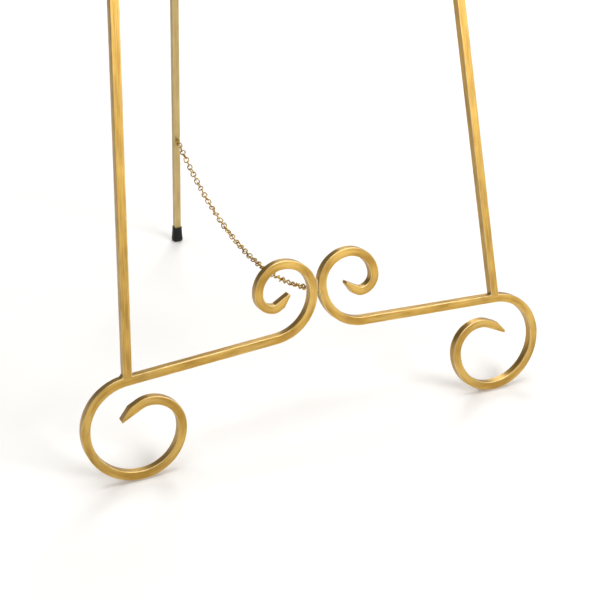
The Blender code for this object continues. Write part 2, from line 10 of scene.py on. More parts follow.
import bpy
import numpy as np
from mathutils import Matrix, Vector


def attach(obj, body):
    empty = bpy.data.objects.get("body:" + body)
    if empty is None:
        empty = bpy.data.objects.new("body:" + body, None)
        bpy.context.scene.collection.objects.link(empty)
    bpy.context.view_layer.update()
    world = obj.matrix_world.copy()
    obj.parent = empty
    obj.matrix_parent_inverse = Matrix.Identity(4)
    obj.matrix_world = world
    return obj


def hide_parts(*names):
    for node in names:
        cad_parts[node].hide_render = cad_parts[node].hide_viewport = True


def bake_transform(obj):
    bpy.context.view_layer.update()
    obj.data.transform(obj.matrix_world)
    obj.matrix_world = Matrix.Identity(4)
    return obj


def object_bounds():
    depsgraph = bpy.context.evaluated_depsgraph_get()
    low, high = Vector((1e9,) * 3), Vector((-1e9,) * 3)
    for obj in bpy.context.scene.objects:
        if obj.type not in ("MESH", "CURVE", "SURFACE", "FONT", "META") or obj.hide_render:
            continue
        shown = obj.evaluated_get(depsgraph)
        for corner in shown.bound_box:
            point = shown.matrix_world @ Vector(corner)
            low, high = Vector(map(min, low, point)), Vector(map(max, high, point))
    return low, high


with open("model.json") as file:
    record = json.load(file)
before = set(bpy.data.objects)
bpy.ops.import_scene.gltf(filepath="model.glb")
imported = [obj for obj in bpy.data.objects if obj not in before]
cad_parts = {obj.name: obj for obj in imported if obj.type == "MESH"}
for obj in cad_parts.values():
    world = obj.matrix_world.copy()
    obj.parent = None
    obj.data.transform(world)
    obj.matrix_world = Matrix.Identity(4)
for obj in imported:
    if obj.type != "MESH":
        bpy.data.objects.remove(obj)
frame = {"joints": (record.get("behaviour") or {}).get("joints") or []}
cad_box = [list(corner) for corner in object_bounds()]

# Dimensions shared with the CAD model
BAR = 0.0090
REAR_BAR = 0.0085
GAP = 0.0003
LEAN = radians(11.14)
LEG_CONVERGENCE = radians(5.27)
LEG_FOOT_X = 0.2043
RAIL_SLOPE = radians(2.98)
LEDGE_HEIGHT = 0.480
CROSSBAR_HEIGHT = 1.420
LEG_TOP_HEIGHT = 1.455
FOOT_RADII = (0.0489, 0.0511, 0.0451, 0.0298, 0.0248)
FOOT_LAST_TURN = radians(25.7)
FOOT_BEAK = (0.0230, 0.0139)    # straight end, and the part of it that is cut away
FOOT_START_X = 0.2052
CENTRE_RADII = (0.0456, 0.0304, 0.0280, 0.0156, 0.0067)
CENTRE_LAST_TURN = radians(28.9)
CENTRE_BEAK = (0.0175, 0.0114)
CENTRE_TOUCH_X = 0.00505
BEAK_TIP = 0.0028
CREST_CENTRE_SCALE = 0.80
CREST_OUTER_SCALE = 0.48
CREST_SLOPE = radians(3.0)
CREST_OVERHANG = 0.0420
HOOK_X = 0.105
HOOK_REACH = 0.026
HOOK_BEND = 0.0120
HOOK_RISE = 0.006
HOOK_CURL = 0.0090
HOOK_CURL_TURN = radians(170.0)
HOOK_BEAK = 0.006
PLATE = 0.0020
WASHER = 0.0008
AXIS_BEHIND_WEB = 0.0100
LEG_OVER_AXIS = 0.0070
CHEEK_HALF_HEIGHT = 0.0085
BOLT_RADIUS = 0.0020
BOLT_HEAD_RADIUS = 0.0036
BOLT_HEAD_HEIGHT = 0.0026
NUT_FLATS = 0.0070
NUT_HEIGHT = 0.0032
BOLT_END = 0.0012
TIP_HEIGHT = 0.0215
TIP_TOP_WIDTH = 0.0120
TIP_FOOT_WIDTH = 0.0142
TIP_TOP_CORNER = 0.0036
TIP_FOOT_CORNER = 0.0055
TIP_SOLE = 0.0040
EYE_WIRE = 0.0018
EYE_RADIUS = 0.0032
FRONT_EYE_HEIGHT = 0.0495
REAR_EYE_HEIGHT = 0.1525
STEM_BITE = 0.0002           # the eye's stem runs this far into the bar
STEM_THIN = 0.7              # its thickness over the wire's, and what it gains at the weld
STEM_FLARE = 0.9
# Chain route, as (distance behind the rail's front face, height above the floor), from the rear leg forwards
CHAIN_ROUTE = (
    (0.4425, 0.1507), (0.4250, 0.1429), (0.4000, 0.1329), (0.3700, 0.1229), (0.3400, 0.1149),
    (0.3100, 0.1089), (0.2800, 0.1049), (0.2500, 0.1027), (0.2200, 0.1026), (0.1900, 0.1043),
    (0.1600, 0.1080), (0.1300, 0.1136), (0.1000, 0.1212), (0.0750, 0.1290), (0.0500, 0.1383),
    (0.0268, 0.1487),
)

# Fineness of the surfaces
EDGE = 0.0007                # rounding along the bar's edges
CORNER_STEPS = 4
CORNER_END_HIGHLIGHT = 0.6        # share of painted edge highlight where the rounding meets the flat
FLAT_SUPPORT = 0.00025       # keeps the flats flat right up to the rounding
PATH_STEP = 0.0022
ARC_STEP = radians(6.0)      # coarsest step round a bend
SHARP_ANGLE = radians(40.0)

STRAIGHT_RINGS = 60
PROUD = 0.00004              # leg and cross bar faces past the scrolls' and legs' own
SUNK = 0.0009                # the legs' ends run this far into the scrolls
END_STEPS = 4                # points on the rounding of a swept bar's end
LEAST_EDGE = 0.0001

# Welds and rear leg
BEAD = 0.0036
BEAD_MARGIN = 0.0008
BEAD_HOLLOW = 0.6
BEAD_RIPPLE = 0.0013         # spacing of the ripples
BEAD_RIPPLE_SWELL = 0.09     # how far the ripples, and the lumps, change a bead's size
BEAD_LUMP_SWELL = 0.14
BEAD_END_SHARE = 0.55        # size of a bead at its ends
BEAD_BACK = 0.10             # a bead's root behind the corner, and its whole shift, over its size
BEAD_LIFT = 0.08
BEAD_AROUND = 17
BEAD_ALONG = 33
BEAD_FRONT_REACH = 0.0006    # the outer leg bead starts this far nearer the front
INNER_BEAD_SHARE = 0.5       # of the outer bead's size
LUMP_WAVES = 8
LUMP_RATES = (0.7, 2.2)      # slowest and fastest of the waves
CENTRE_WELD_HALF_HEIGHT = 0.0085
CENTRE_WELD_REACH = 9          # points of the scroll followed either way from the touching place
CENTRE_WELD_BITE = 0.0002      # the weld runs this far into the scrolls
CENTRE_WELD_SWELL = 0.10
CENTRE_WELD_STEPS = 33
CENTRE_WELD_SQUARE = (0.4, 0.6)    # powers that square its section across and in depth
LUMP_RADII = (0.0027, 0.0013, 0.0038)
LUMP_SWELL = 0.16
LUMP_RISE = 1.5                # latitude of the lump's last rings, in radians
LUMP_X = 0.0012
LUMP_SINK = 0.0002           # behind the front faces
LUMP_DROP = 0.0058           # below the place where the scrolls touch
LEG_TOP_ROUND = 0.0025
LEG_TOP_TURN = 1.45          # the rounding stops this far round, in radians
SIDE_SPREAD = 3              # spreads the points of a link or a soft square along its sides

# Link of the chain
LINK_PITCH = 0.0069          # inner length of a link
LINK_WIRE = 0.0014
LINK_WIDTH = 0.0072          # outer width
LINK_AROUND = 22
WIRE_AROUND = 8
LINK_ROLL = radians(33.0)    # turn of the links about the chain, away from level
LINK_TWIST = radians(-20.0)  # more turn towards the front end
LINK_SCATTER = radians(17.0)
LINK_SWING = radians(9.0)    # links tip to and fro by about this much
LINKS_TO_LEVEL = 3           # the turn and the scatter fade out over this many links at each end
LINK_SEED = 7
CHAIN_STEP = 0.0005          # between points of the smooth route
KNOT_STEPS = 20
LINK_HOOKED = 0.0022         # the end links reach this far past the route's ends, into the eyes

axis_place = Vector(frame["joints"][0]["pos_m"])
WEB_FRONT = BAR + GAP
AXIS_BACK = WEB_FRONT + PLATE + AXIS_BEHIND_WEB
CHEEK_INNER = REAR_BAR / 2 + WASHER + 2 * GAP
CHEEK_OUTER = CHEEK_INNER + PLATE
CHEEK_BACK = AXIS_BACK + CHEEK_HALF_HEIGHT
FRAME_Y = axis_place.y - CROSSBAR_HEIGHT * sin(LEAN) - AXIS_BACK * cos(LEAN)
RAIL_HEIGHT = axis_place.z - CROSSBAR_HEIGHT * cos(LEAN) + AXIS_BACK * sin(LEAN)
REAR_FOOT_Y = cad_box[1][1] - TIP_FOOT_WIDTH / 2
REAR_LEAN = atan2(REAR_FOOT_Y - axis_place.y, axis_place.z)


# Bracket, bolt and nut
BEND_SHARE = 1.4             # the bracket's bend radius over its plate
BRACKET_EDGE = 0.00035
LOBE_STEPS = 15
LOBE_END = 0.985             # share of the lobe's half width at its last ring
BOLT_AROUND = 49
THREAD_PITCH = 0.0005
THREAD_DEPTH = 0.00012
THREAD_RELIEF = 0.0002       # the thread's middle below the shank
THREAD_LEAD_IN = 0.0004      # taper at the thread's end, as deep as it is long
THREAD_ON = 0.0010           # the thread runs on this far inside the nut
SHANK_START = 0.0012         # and the plain shank starts here
HEAD_RIM = 0.0003            # straight rim under the head's dome
DOME_TURN = 1.15
DOME_STEPS = 9
SOCKET_FLATS = 0.0022
SOCKET_DEPTH = 0.0012
SOCKET_BEVEL = 0.0001
SOCKET_TAPER = 0.95
HEAD_BEVEL = 0.0001
NUT_AROUND = 97
NUT_BEVEL = 0.0002
WASHER_BEVEL = 0.00012
BEVEL_SLOPE = 0.6
LEAST_RUN = 0.0002           # keeps the bolt's pattern moving along where the profile turns square
RING_PROFILE = 0.0100        # way round a nut's or washer's profile, for its pattern only

# Rubber tip
TIP_EDGE = 0.0026            # rounding of the sole's rim
TIP_SOLE_INSET = 0.0030      # flat middle of the sole, inside that rounding
TIP_LIP = 0.0012
TIP_LIP_NECK = 0.0005        # the wall's top is this much narrower than the lip
TIP_LIP_START = 0.0022       # the wall ends this far below the top
TIP_CURVE = 0.8
TIP_SOLE_CORNER = 0.0020
TIP_MOUTH_SHARPENS = 0.0014  # half of what the corners lose over the lip, down to the bar's own
TIP_AROUND = 65

# Placing

def frame_to_world(points):
    """Points of the leaning front frame in world axes: the frame's height runs up its lean and its depth
    runs square to it."""
    x, y, z = np.moveaxis(np.asarray(points, dtype=float), -1, 0)
    world_y = FRAME_Y + z * sin(LEAN) + y * cos(LEAN)
    world_z = RAIL_HEIGHT + z * cos(LEAN) - y * sin(LEAN)
    return np.stack([x, world_y, world_z], axis=-1)


def rear_to_world(points):
    """Points of the rear leg's own axes, with Z up the leg from the hinge, in world axes."""
    x, y, z = np.moveaxis(np.asarray(points, dtype=float), -1, 0)
    world_y = axis_place.y + y * cos(REAR_LEAN) - z * sin(REAR_LEAN)
    world_z = axis_place.z + y * sin(REAR_LEAN) + z * cos(REAR_LEAN)
    return np.stack([x, world_y, world_z], axis=-1)


# Surfaces

def signed_volume(points, triangles):
    """Sum of the signed tetrahedra between the triangles and the origin. It is positive when the faces look
    outwards."""
    a, b, c = (points[triangles[:, k]] for k in range(3))
    return float(np.einsum("ij,ij->i", a, np.cross(b, c)).sum() / 6)


def grid_shell(rings, along, around, edge=0.0, loop=False):
    """Closed surface through rings of points, each ring closed on itself.

    rings is (rings, points, 3). along gives each ring's distance and around each point's distance round the
    ring, which become the UV map in metres; both hold one value more than there are steps. With loop the last
    ring joins the first; otherwise each end is closed by a fan to the middle of its ring. edge is a value per
    point for the material. Returns points, quads, triangles, corner UVs and values.
    """
    count, size = rings.shape[:2]
    points = rings.reshape(-1, 3)
    i = np.arange(count if loop else count - 1)[:, None]
    j = np.arange(size)[None, :]
    ni = (i + 1) % count
    nj = (j + 1) % size
    quads = np.stack([i * size + j, i * size + nj, ni * size + nj, ni * size + j], axis=-1).reshape(-1, 4)
    low = np.broadcast_to(along[i], (len(i), size))
    high = np.broadcast_to(along[i + 1], (len(i), size))
    near = np.broadcast_to(around[j], (len(i), size))
    far = np.broadcast_to(around[j + 1], (len(i), size))
    uv = np.stack([np.stack(pair, -1) for pair in ((low, near), (low, far), (high, far), (high, near))],
                  axis=2).reshape(-1, 2)
    values = np.broadcast_to(edge, (count, size)).reshape(-1)
    fans = np.zeros((0, 3), dtype=int)
    if not loop:
        middles = np.stack([rings[0].mean(axis=0), rings[-1].mean(axis=0)])
        ring = np.arange(size)
        last = (count - 1) * size
        fans = np.concatenate([
            np.stack([np.full(size, count * size), (ring + 1) % size, ring], axis=-1),
            np.stack([np.full(size, count * size + 1), last + ring, last + (ring + 1) % size], axis=-1)])
        points = np.concatenate([points, middles])
        values = np.concatenate([values, [0.0, 0.0]])
        uv = np.concatenate([uv, np.full((size * 6, 2), (along[0], around[0]))])
    if signed_volume(points, np.concatenate([quads[:, :3], quads[:, [0, 2, 3]], fans])) < 0:
        corners = uv[:len(quads) * 4].reshape(-1, 4, 2)
        uv = np.concatenate([corners[:, ::-1].reshape(-1, 2), uv[len(quads) * 4:]])
        quads = quads[:, ::-1]
        fans = fans[:, ::-1]
    return points, quads, fans, uv, values


def make_piece(name, shells, material, node, body):
    """One object from closed shells. It stands in for a CAD node and rides on a body."""
    start = np.cumsum([0] + [len(shell[0]) for shell in shells])
    points = np.concatenate([shell[0] for shell in shells])
    faces = []
    for shell, first in zip(shells, start):
        faces += (shell[1] + first).tolist() + (shell[2] + first).tolist()
    mesh = bpy.data.meshes.new(name)
    mesh.from_pydata(points.tolist(), [], faces)
    uv = np.concatenate([shell[3] for shell in shells]).astype(np.float32)
    mesh.uv_layers.new(name="surface").data.foreach_set("uv", uv.ravel())
    values = np.concatenate([shell[4] for shell in shells]).astype(np.float32)
    # edge values set where the gold lacquer paints its edge highlight
    mesh.attributes.new("edge", "FLOAT", "POINT").data.foreach_set("value", values)
    mesh.shade_smooth()
    mesh.set_sharp_from_angle(angle=SHARP_ANGLE)
    mesh.materials.append(material)
    piece = bpy.data.objects.new(name, mesh)
    bpy.context.scene.collection.objects.link(piece)
    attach(piece, body)
    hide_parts(node)


def rounded_section(a_low, a_high, b_low, b_high, edge):
    """Rectangles with round corners, one per ring.

    Each corner is a quarter circle of radius edge, with a support point on the flat at either side of it. All
    arguments are arrays over the rings. Returns points (rings, points, 2), the distance round the first ring
    and the share of rounding at each point.
    """
    centres = [(a_high - edge, b_high - edge), (a_low + edge, b_high - edge),
               (a_low + edge, b_low + edge), (a_high - edge, b_low + edge)]
    columns = []
    edge_highlight_share = []
    for quarter, (ca, cb) in enumerate(centres):
        turn = pi / 2 * (quarter + np.arange(CORNER_STEPS + 1) / CORNER_STEPS)
        before = (turn[0], -FLAT_SUPPORT)
        after = (turn[-1], FLAT_SUPPORT)
        angles = np.concatenate([[before[0]], turn, [after[0]]])
        slide = np.concatenate([[before[1]], np.zeros(len(turn)), [after[1]]])
        a = ca[:, None] + edge[:, None] * np.cos(angles) - slide * np.sin(angles)
        b = cb[:, None] + edge[:, None] * np.sin(angles) + slide * np.cos(angles)
        columns.append(np.stack([a, b], axis=-1))
        # painted edge highlight: full on the rounding, part where it meets the flat, none on the flats
        edge_highlight_share += [0.0, CORNER_END_HIGHLIGHT] + [1.0] * (CORNER_STEPS - 1) + [CORNER_END_HIGHLIGHT, 0.0]
    section = np.concatenate(columns, axis=1)
    closed = np.concatenate([section[0], section[0, :1]])
    around = np.concatenate([[0.0], np.cumsum(np.linalg.norm(np.diff(closed, axis=0), axis=1))])
    return section, around, np.array(edge_highlight_share)


# Flat paths

def follow(start, heading, moves):
    """Even points along straight runs and clockwise arcs in a plane. A move is ("run", length) or
    ("turn", radius, angle); a negative angle turns the other way. Every move ends on a point."""
    parts = [np.array([start], dtype=float)]
    for move in moves:
        begin = parts[-1][-1]
        if move[0] == "run":
            share = np.linspace(0.0, 1.0, max(2, round(move[1] / PATH_STEP)) + 1)[1:]
            parts.append(begin + move[1] * share[:, None] * np.array([cos(heading), sin(heading)]))
            continue
        _, radius, angle = move
        side = 1.0 if angle > 0.0 else -1.0
        steps = max(6, round(abs(angle) * radius / PATH_STEP), round(abs(angle) / ARC_STEP))
        turn = heading - angle * np.linspace(0.0, 1.0, steps + 1)[1:]
        centre = begin + radius * side * np.array([sin(heading), -cos(heading)])
        parts.append(centre + radius * side * np.stack([-np.sin(turn), np.cos(turn)], axis=-1))
        heading -= angle
    return np.concatenate(parts)


def scroll_moves(radii, last_turn, beak, slope, scale):
    """Arcs of one scroll: four quarter turns, of which the first makes up for the slope, then the last one
    and the straight beak."""
    turns = [pi / 2 - slope, pi / 2, pi / 2, pi / 2, last_turn]
    moves = [("turn", radius * scale, turn) for radius, turn in zip(radii, turns)]
    length, bevel = beak
    return moves + [("run", (length - bevel) * scale), ("run", bevel * scale)]


def s_scroll_path(leg_place, leg_z, slope, outer_x, outer_scale, centre_scale):
    """Centreline of a right-hand S-scroll bar, from its outer beak over the rail to its centre beak."""
    centre_x = CENTRE_TOUCH_X + CENTRE_RADII[0] * centre_scale * (1 - sin(slope))
    outer_start = (outer_x, leg_z - (outer_x - leg_place) * tan(slope))
    centre_start = (centre_x, leg_z - (centre_x - leg_place) * tan(slope))
    rail_length = float(np.hypot(*np.subtract(centre_start, outer_start)))
    outer_moves = scroll_moves(FOOT_RADII, FOOT_LAST_TURN, FOOT_BEAK, slope, outer_scale)
    centre_moves = scroll_moves(CENTRE_RADII, CENTRE_LAST_TURN, CENTRE_BEAK, slope, centre_scale)
    outer = follow(outer_start, -slope, outer_moves)
    rail = follow(outer_start, pi - slope, [("run", rail_length)])
    centre = follow(centre_start, pi - slope, centre_moves)
    return np.concatenate([outer[::-1], rail[1:-1], centre])


def path_frame(path):
    """Distance along a flat path and its left-hand normals, as the mean of the normals of the two edges that
    meet at each point."""
    edges = np.diff(path, axis=0)
    lengths = np.linalg.norm(edges, axis=1)
    edges = edges / lengths[:, None]
    left = np.stack([-edges[:, 1], edges[:, 0]], axis=1)
    mitre = np.concatenate([left[:1], left]) + np.concatenate([left, left[-1:]])
    return np.concatenate([[0.0], np.cumsum(lengths)]), mitre / np.linalg.norm(mitre, axis=1)[:, None]


def soften_ends(path, inset):
    """Extra points near both ends of a path, on a quarter circle of the given radius, and the inset of the
    section there, so that the swept bar's ends are rounded."""
    turn = np.linspace(0.0, pi / 2, END_STEPS)
    shift = inset * (1 - np.sin(turn))
    shrink = inset * (1 - np.cos(turn))
    first_way = (path[1] - path[0]) / np.linalg.norm(path[1] - path[0])
    last_way = (path[-2] - path[-1]) / np.linalg.norm(path[-2] - path[-1])
    first = path[0] + shift[::-1, None] * first_way
    last = path[-1] + shift[:, None] * last_way
    middle = path[1:-1]
    new_path = np.concatenate([first, middle, last])
    amount = np.concatenate([shrink[::-1], np.zeros(len(middle)), shrink])
    return new_path, amount


def bent_bar(path, beaks, place):
    """Shell of a square bar carried along a flat path. beaks holds (side, bevel) for the start and the end:
    the side (-1 right, 1 left, 0 none) is bevelled in a straight line over that length, down to the beak's
    tip. place puts (along the plane, up, depth) in the world."""
    path, shrink = soften_ends(path, EDGE)
    run, normal = path_frame(path)
    high = np.full(len(path), BAR / 2)
    low = np.full(len(path), -BAR / 2)
    for (beak_side, length), distance in zip(beaks, (run, run[-1] - run)):
        bevel = abs(beak_side) * (BAR - BEAK_TIP) * np.clip(1 - distance / length, 0.0, 1.0)
        high = high - bevel * (beak_side > 0)
        low = low + bevel * (beak_side < 0)
    section, around, edge_highlight_share = rounded_section(low + shrink, high - shrink, shrink, BAR - shrink,
                                            np.maximum(EDGE - shrink, LEAST_EDGE))
    flat = path[:, None, :] + section[..., :1] * normal[:, None, :]
    return grid_shell(place(flat[..., 0], flat[..., 1], section[..., 1]), run, around, edge_highlight_share)


def in_frame(side):
    """Placing rule for a path in the front frame's own plane, mirrored where side is -1."""
    def place(x, z, depth):
        return frame_to_world(np.stack([side * x, depth, z], axis=-1))
    return place


def leg_x(height):
    """Middle of the right leg at a height up the legs."""
    return LEG_FOOT_X - height * tan(LEG_CONVERGENCE)


def rail_z(x):
    """Middle of the base rail at a distance from the middle plane."""
    return -(x - LEG_FOOT_X) * tan(RAIL_SLOPE)


BASE_PATH = s_scroll_path(LEG_FOOT_X, 0.0, RAIL_SLOPE, FOOT_START_X, 1.0, 1.0)
CREST_Z = LEG_TOP_HEIGHT + GAP + BAR / 2 / cos(CREST_SLOPE)
CREST_PATH = s_scroll_path(leg_x(LEG_TOP_HEIGHT), CREST_Z, CREST_SLOPE,
                           leg_x(LEG_TOP_HEIGHT) + CREST_OVERHANG, CREST_OUTER_SCALE, CREST_CENTRE_SCALE)


# Materials

def linear_colour(code):
    """sRGB hex colour as linear RGBA."""
    channels = np.array([int(code[k:k + 2], 16) / 255 for k in (0, 2, 4)])
    linear = np.where(channels <= 0.04045, channels / 12.92, ((channels + 0.055) / 1.055) ** 2.4)
    return (*linear.tolist(), 1.0)


def add_node(tree, kind, settings=None, links=None):
    """One shader node. settings holds its properties and unlinked inputs by name, links the inputs that
    other sockets feed."""
    node = tree.nodes.new(kind)
    for key, value in (settings or {}).items():
        if isinstance(key, int) or key in node.inputs:
            node.inputs[key].default_value = value
        else:
            setattr(node, key, value)
    for key, source in (links or {}).items():
        tree.links.new(source, node.inputs[key])
    return node


def new_material(name):
    """Empty node material with its output node."""
    material = bpy.data.materials.new(name)
    material.use_nodes = True
    tree = material.node_tree
    tree.nodes.clear()
    return material, tree, add_node(tree, "ShaderNodeOutputMaterial")


def finish_material(tree, output, settings, links):
    """Principled shader with its settings and links, joined to the output."""
    shader = add_node(tree, "ShaderNodeBsdfPrincipled", settings, links)
    tree.links.new(shader.outputs["BSDF"], output.inputs["Surface"])


def pattern(tree, source, size, detail=2.0, roughness=0.5):
    """Noise whose grain has the given size in millimetres along each axis of a coordinate in metres."""
    scale = tuple(1000.0 / s for s in size)
    mapping = add_node(tree, "ShaderNodeMapping", {"Scale": scale}, {"Vector": source})
    noise = add_node(tree, "ShaderNodeTexNoise", {"Scale": 1.0, "Detail": detail, "Roughness": roughness},
                     {"Vector": mapping.outputs["Vector"]})
    return noise.outputs["Fac"]


def spread(tree, value, low, high, to_low, to_high):
    """Value mapped from one range to another, held at the ends."""
    node = add_node(tree, "ShaderNodeMapRange", {"From Min": low, "From Max": high, "To Min": to_low,
                                                 "To Max": to_high}, {"Value": value})
    return node.outputs["Result"]


def mix_colours(tree, factor, first, second):
    """Mix of two colours, each a hex code or a socket."""
    node = add_node(tree, "ShaderNodeMix", {"data_type": "RGBA"})
    tree.links.new(factor, node.inputs[0])
    for socket, colour in ((node.inputs[6], first), (node.inputs[7], second)):
        if isinstance(colour, str):
            socket.default_value = linear_colour(colour)
        else:
            tree.links.new(colour, socket)
    return node.outputs[2]


def gold_lacquer(name, body, bright, dark, painted_edge_highlight, metallic, roughness):
    """Satin gold lacquer over square bar that was drawn and brushed along its length. The eye sees streaks
    along the bar and slow clouds between a yellow and a browner gold. Its paler edges are a painted
    highlight, broken up by patches. The real brushing is about 0.1 mm wide, drawn here 0.7 mm wide so that it
    shows."""
    material, tree, output = new_material(name)
    surface = add_node(tree, "ShaderNodeUVMap", {"uv_map": "surface"}).outputs["UV"]
    streaks = pattern(tree, surface, (45.0, 0.7, 1.0), detail=3.0, roughness=0.6)
    clouds = pattern(tree, surface, (28.0, 9.0, 1.0), detail=2.0)
    grain = pattern(tree, surface, (2.4, 0.35, 1.0), detail=2.0)
    edge = add_node(tree, "ShaderNodeAttribute", {"attribute_name": "edge"}).outputs["Fac"]
    cloud_share = spread(tree, clouds, 0.3, 0.7, 0.0, 1.0)
    base = mix_colours(tree, cloud_share, dark, body)
    streak_share = spread(tree, streaks, 0.40, 0.66, 0.0, 0.7)
    base = mix_colours(tree, streak_share, base, bright)
    # painted edge highlight: a paler colour on the rounded edges, broken up by patches
    edge_highlight_patch = spread(tree, pattern(tree, surface, (14.0, 1.2, 1.0)), 0.35, 0.6, 0.25, 0.9)
    edge_share = add_node(tree, "ShaderNodeMath", {"operation": "MULTIPLY"}, {0: edge, 1: edge_highlight_patch})
    base = mix_colours(tree, edge_share.outputs["Value"], base, painted_edge_highlight)
    rough = spread(tree, streaks, 0.3, 0.7, roughness - 0.07, roughness + 0.09)
    bump = add_node(tree, "ShaderNodeBump", {"Strength": 0.22, "Distance": 0.00008}, {"Height": grain})
    finish_material(tree, output, {"Metallic": metallic},
                    {"Base Color": base, "Roughness": rough, "Normal": bump.outputs["Normal"]})
    return material


def weld_bead_lacquer():
    """Rough weld bead under thin gold lacquer. The eye sees greyish scale between patches of gold and the
    fine pits of spatter, about 0.6 mm apart."""
    material, tree, output = new_material("weld_bead_lacquer")
    place = add_node(tree, "ShaderNodeTexCoord").outputs["Object"]
    patches = spread(tree, pattern(tree, place, (2.6, 2.6, 2.6)), 0.42, 0.6, 0.0, 1.0)
    base = mix_colours(tree, patches, "A8A07A", "BC9648")
    pits = pattern(tree, place, (0.6, 0.6, 0.6), detail=3.0)
    bump = add_node(tree, "ShaderNodeBump", {"Strength": 0.6, "Distance": 0.0002}, {"Height": pits})
    rough = spread(tree, patches, 0.0, 1.0, 0.62, 0.4)
    finish_material(tree, output, {"Metallic": 0.75},
                    {"Base Color": base, "Roughness": rough, "Normal": bump.outputs["Normal"]})
    return material


def brass_wire():
    """Brass-coloured drawn wire of the chain: a browner gold with bright, smoother patches painted in as
    glints.
    """
    material, tree, output = new_material("brass_wire")
    place = add_node(tree, "ShaderNodeTexCoord").outputs["Object"]
    patches = spread(tree, pattern(tree, place, (3.5, 3.5, 3.5)), 0.38, 0.62, 0.0, 1.0)
    # painted glints: the pale CBA958 patches stand in for bright reflections
    base = mix_colours(tree, patches, "8E6A26", "CBA958")
    rough = spread(tree, patches, 0.0, 1.0, 0.42, 0.28)
    finish_material(tree, output, {"Metallic": 1.0},
                    {"Base Color": base, "Roughness": rough})
    return material


def yellow_zinc():
    """Yellow-passivated zinc plating of the hinge fasteners, with its faint rainbow of straw and olive."""
    material, tree, output = new_material("yellow_zinc_plating")
    place = add_node(tree, "ShaderNodeTexCoord").outputs["Object"]
    tint = spread(tree, pattern(tree, place, (1.8, 1.8, 1.8)), 0.35, 0.65, 0.0, 1.0)
    base = mix_colours(tree, tint, "B39B5E", "D9C48A")
    rough = spread(tree, pattern(tree, place, (0.5, 0.5, 0.5)), 0.3, 0.7, 0.26, 0.42)
    finish_material(tree, output, {"Metallic": 1.0},
                    {"Base Color": base, "Roughness": rough})
    return material


def moulded_rubber():
    """Black moulded rubber with a matt skin, dusty where it meets the floor."""
    material, tree, output = new_material("moulded_rubber")
    place = add_node(tree, "ShaderNodeTexCoord").outputs["Object"]
    grain = pattern(tree, place, (0.7, 0.7, 0.7), detail=3.0)
    height = add_node(tree, "ShaderNodeSeparateXYZ", {}, {"Vector": place}).outputs["Z"]
    dust = spread(tree, height, 0.0, 0.006, 0.45, 0.0)
    dust_patch = spread(tree, pattern(tree, place, (2.5, 2.5, 2.5)), 0.4, 0.65, 0.2, 1.0)
    share = add_node(tree, "ShaderNodeMath", {"operation": "MULTIPLY"}, {0: dust, 1: dust_patch})
    base = mix_colours(tree, share.outputs["Value"], "0B0B0D", "34322F")
    rough = spread(tree, grain, 0.3, 0.7, 0.5, 0.68)
    bump = add_node(tree, "ShaderNodeBump", {"Strength": 0.3, "Distance": 0.0001}, {"Height": grain})
    finish_material(tree, output, {"Specular IOR Level": 0.3},
                    {"Base Color": base, "Roughness": rough, "Normal": bump.outputs["Normal"]})
    return material


# the last colour of each lacquer is its painted edge highlight
front_gold = gold_lacquer("brushed_gold_lacquer", "B68F3F", "CBAA60", "8D6A2A", "D9C28E", 0.78, 0.38)
rear_gold = gold_lacquer("dull_gold_lacquer", "BDA46B", "CCB582", "A88F58", "D3C192", 0.6, 0.48)
weld_finish = weld_bead_lacquer()
chain_finish = brass_wire()
plating = yellow_zinc()
rubber = moulded_rubber()


# Camera, light and floor

CAMERA_PLACE = Vector((-0.4511, FRAME_Y - 0.9735, 0.7468))
CAMERA_TURN = radians(23.66)
CAMERA_DIP = radians(29.17)
CAMERA_LENS = 73.9
FLOOR_REACH = 9.0
SURROUND_STRENGTH = 0.16
# Soft boxes, as (name, place, target, size, watts)
SOFT_BOXES = (
    ("key_box", (1.4, -3.1, 1.5), (0.0, 0.0, 0.3), (1.8, 1.8), 100.0),
    ("top_box", (0.0, 0.3, 3.6), (0.0, 0.1, 0.0), (3.2, 3.2), 95.0),
    ("back_box", (1.6, 3.2, 2.2), (0.0, 0.2, 0.2), (1.8, 1.4), 60.0),
)


def make_camera():
    """Camera in front of the easel, to its left, looking down at the base."""
    data = bpy.data.cameras.new("camera")
    data.lens = CAMERA_LENS
    camera = bpy.data.objects.new("camera", data)
    camera.location = CAMERA_PLACE
    camera.rotation_euler = (pi / 2 - CAMERA_DIP, 0.0, -CAMERA_TURN)
    bpy.context.scene.collection.objects.link(camera)
    bpy.context.scene.camera = camera


def add_area_light(name, place, target, size, power):
    """White soft box that looks at a target."""
    data = bpy.data.lights.new(name, "AREA")
    data.shape = "RECTANGLE"
    data.size, data.size_y = size
    data.energy = power
    light = bpy.data.objects.new(name, data)
    light.location = place
    light.rotation_euler = (Vector(target) - Vector(place)).to_track_quat("-Z", "Y").to_euler()
    bpy.context.scene.collection.objects.link(light)


def make_studio():
    """Pale floor, soft boxes at the front right, overhead and at the back right, and an even surround."""
    floor_mesh = bpy.data.meshes.new("floor")
    low, high = -FLOOR_REACH, FLOOR_REACH
    corners = [(low, low, 0), (high, low, 0), (high, high, 0), (low, high, 0)]
    floor_mesh.from_pydata(corners, [], [(0, 1, 2, 3)])
    floor = bpy.data.objects.new("floor", floor_mesh)
    material, tree, output = new_material("pale_floor")
    settings = {"Base Color": linear_colour("FAFAFA"), "Roughness": 0.9, "Specular IOR Level": 0.1}
    finish_material(tree, output, settings, {})
    floor_mesh.materials.append(material)
    bpy.context.scene.collection.objects.link(floor)
    world = bpy.data.worlds.new("studio")
    world.use_nodes = True
    background = world.node_tree.nodes["Background"]
    background.inputs["Color"].default_value = linear_colour("E9DCC8")
    background.inputs["Strength"].default_value = SURROUND_STRENGTH
    bpy.context.scene.world = world
    for box in SOFT_BOXES:
        add_area_light(*box)
    bpy.context.scene.view_settings.view_transform = "Standard"


# Chain

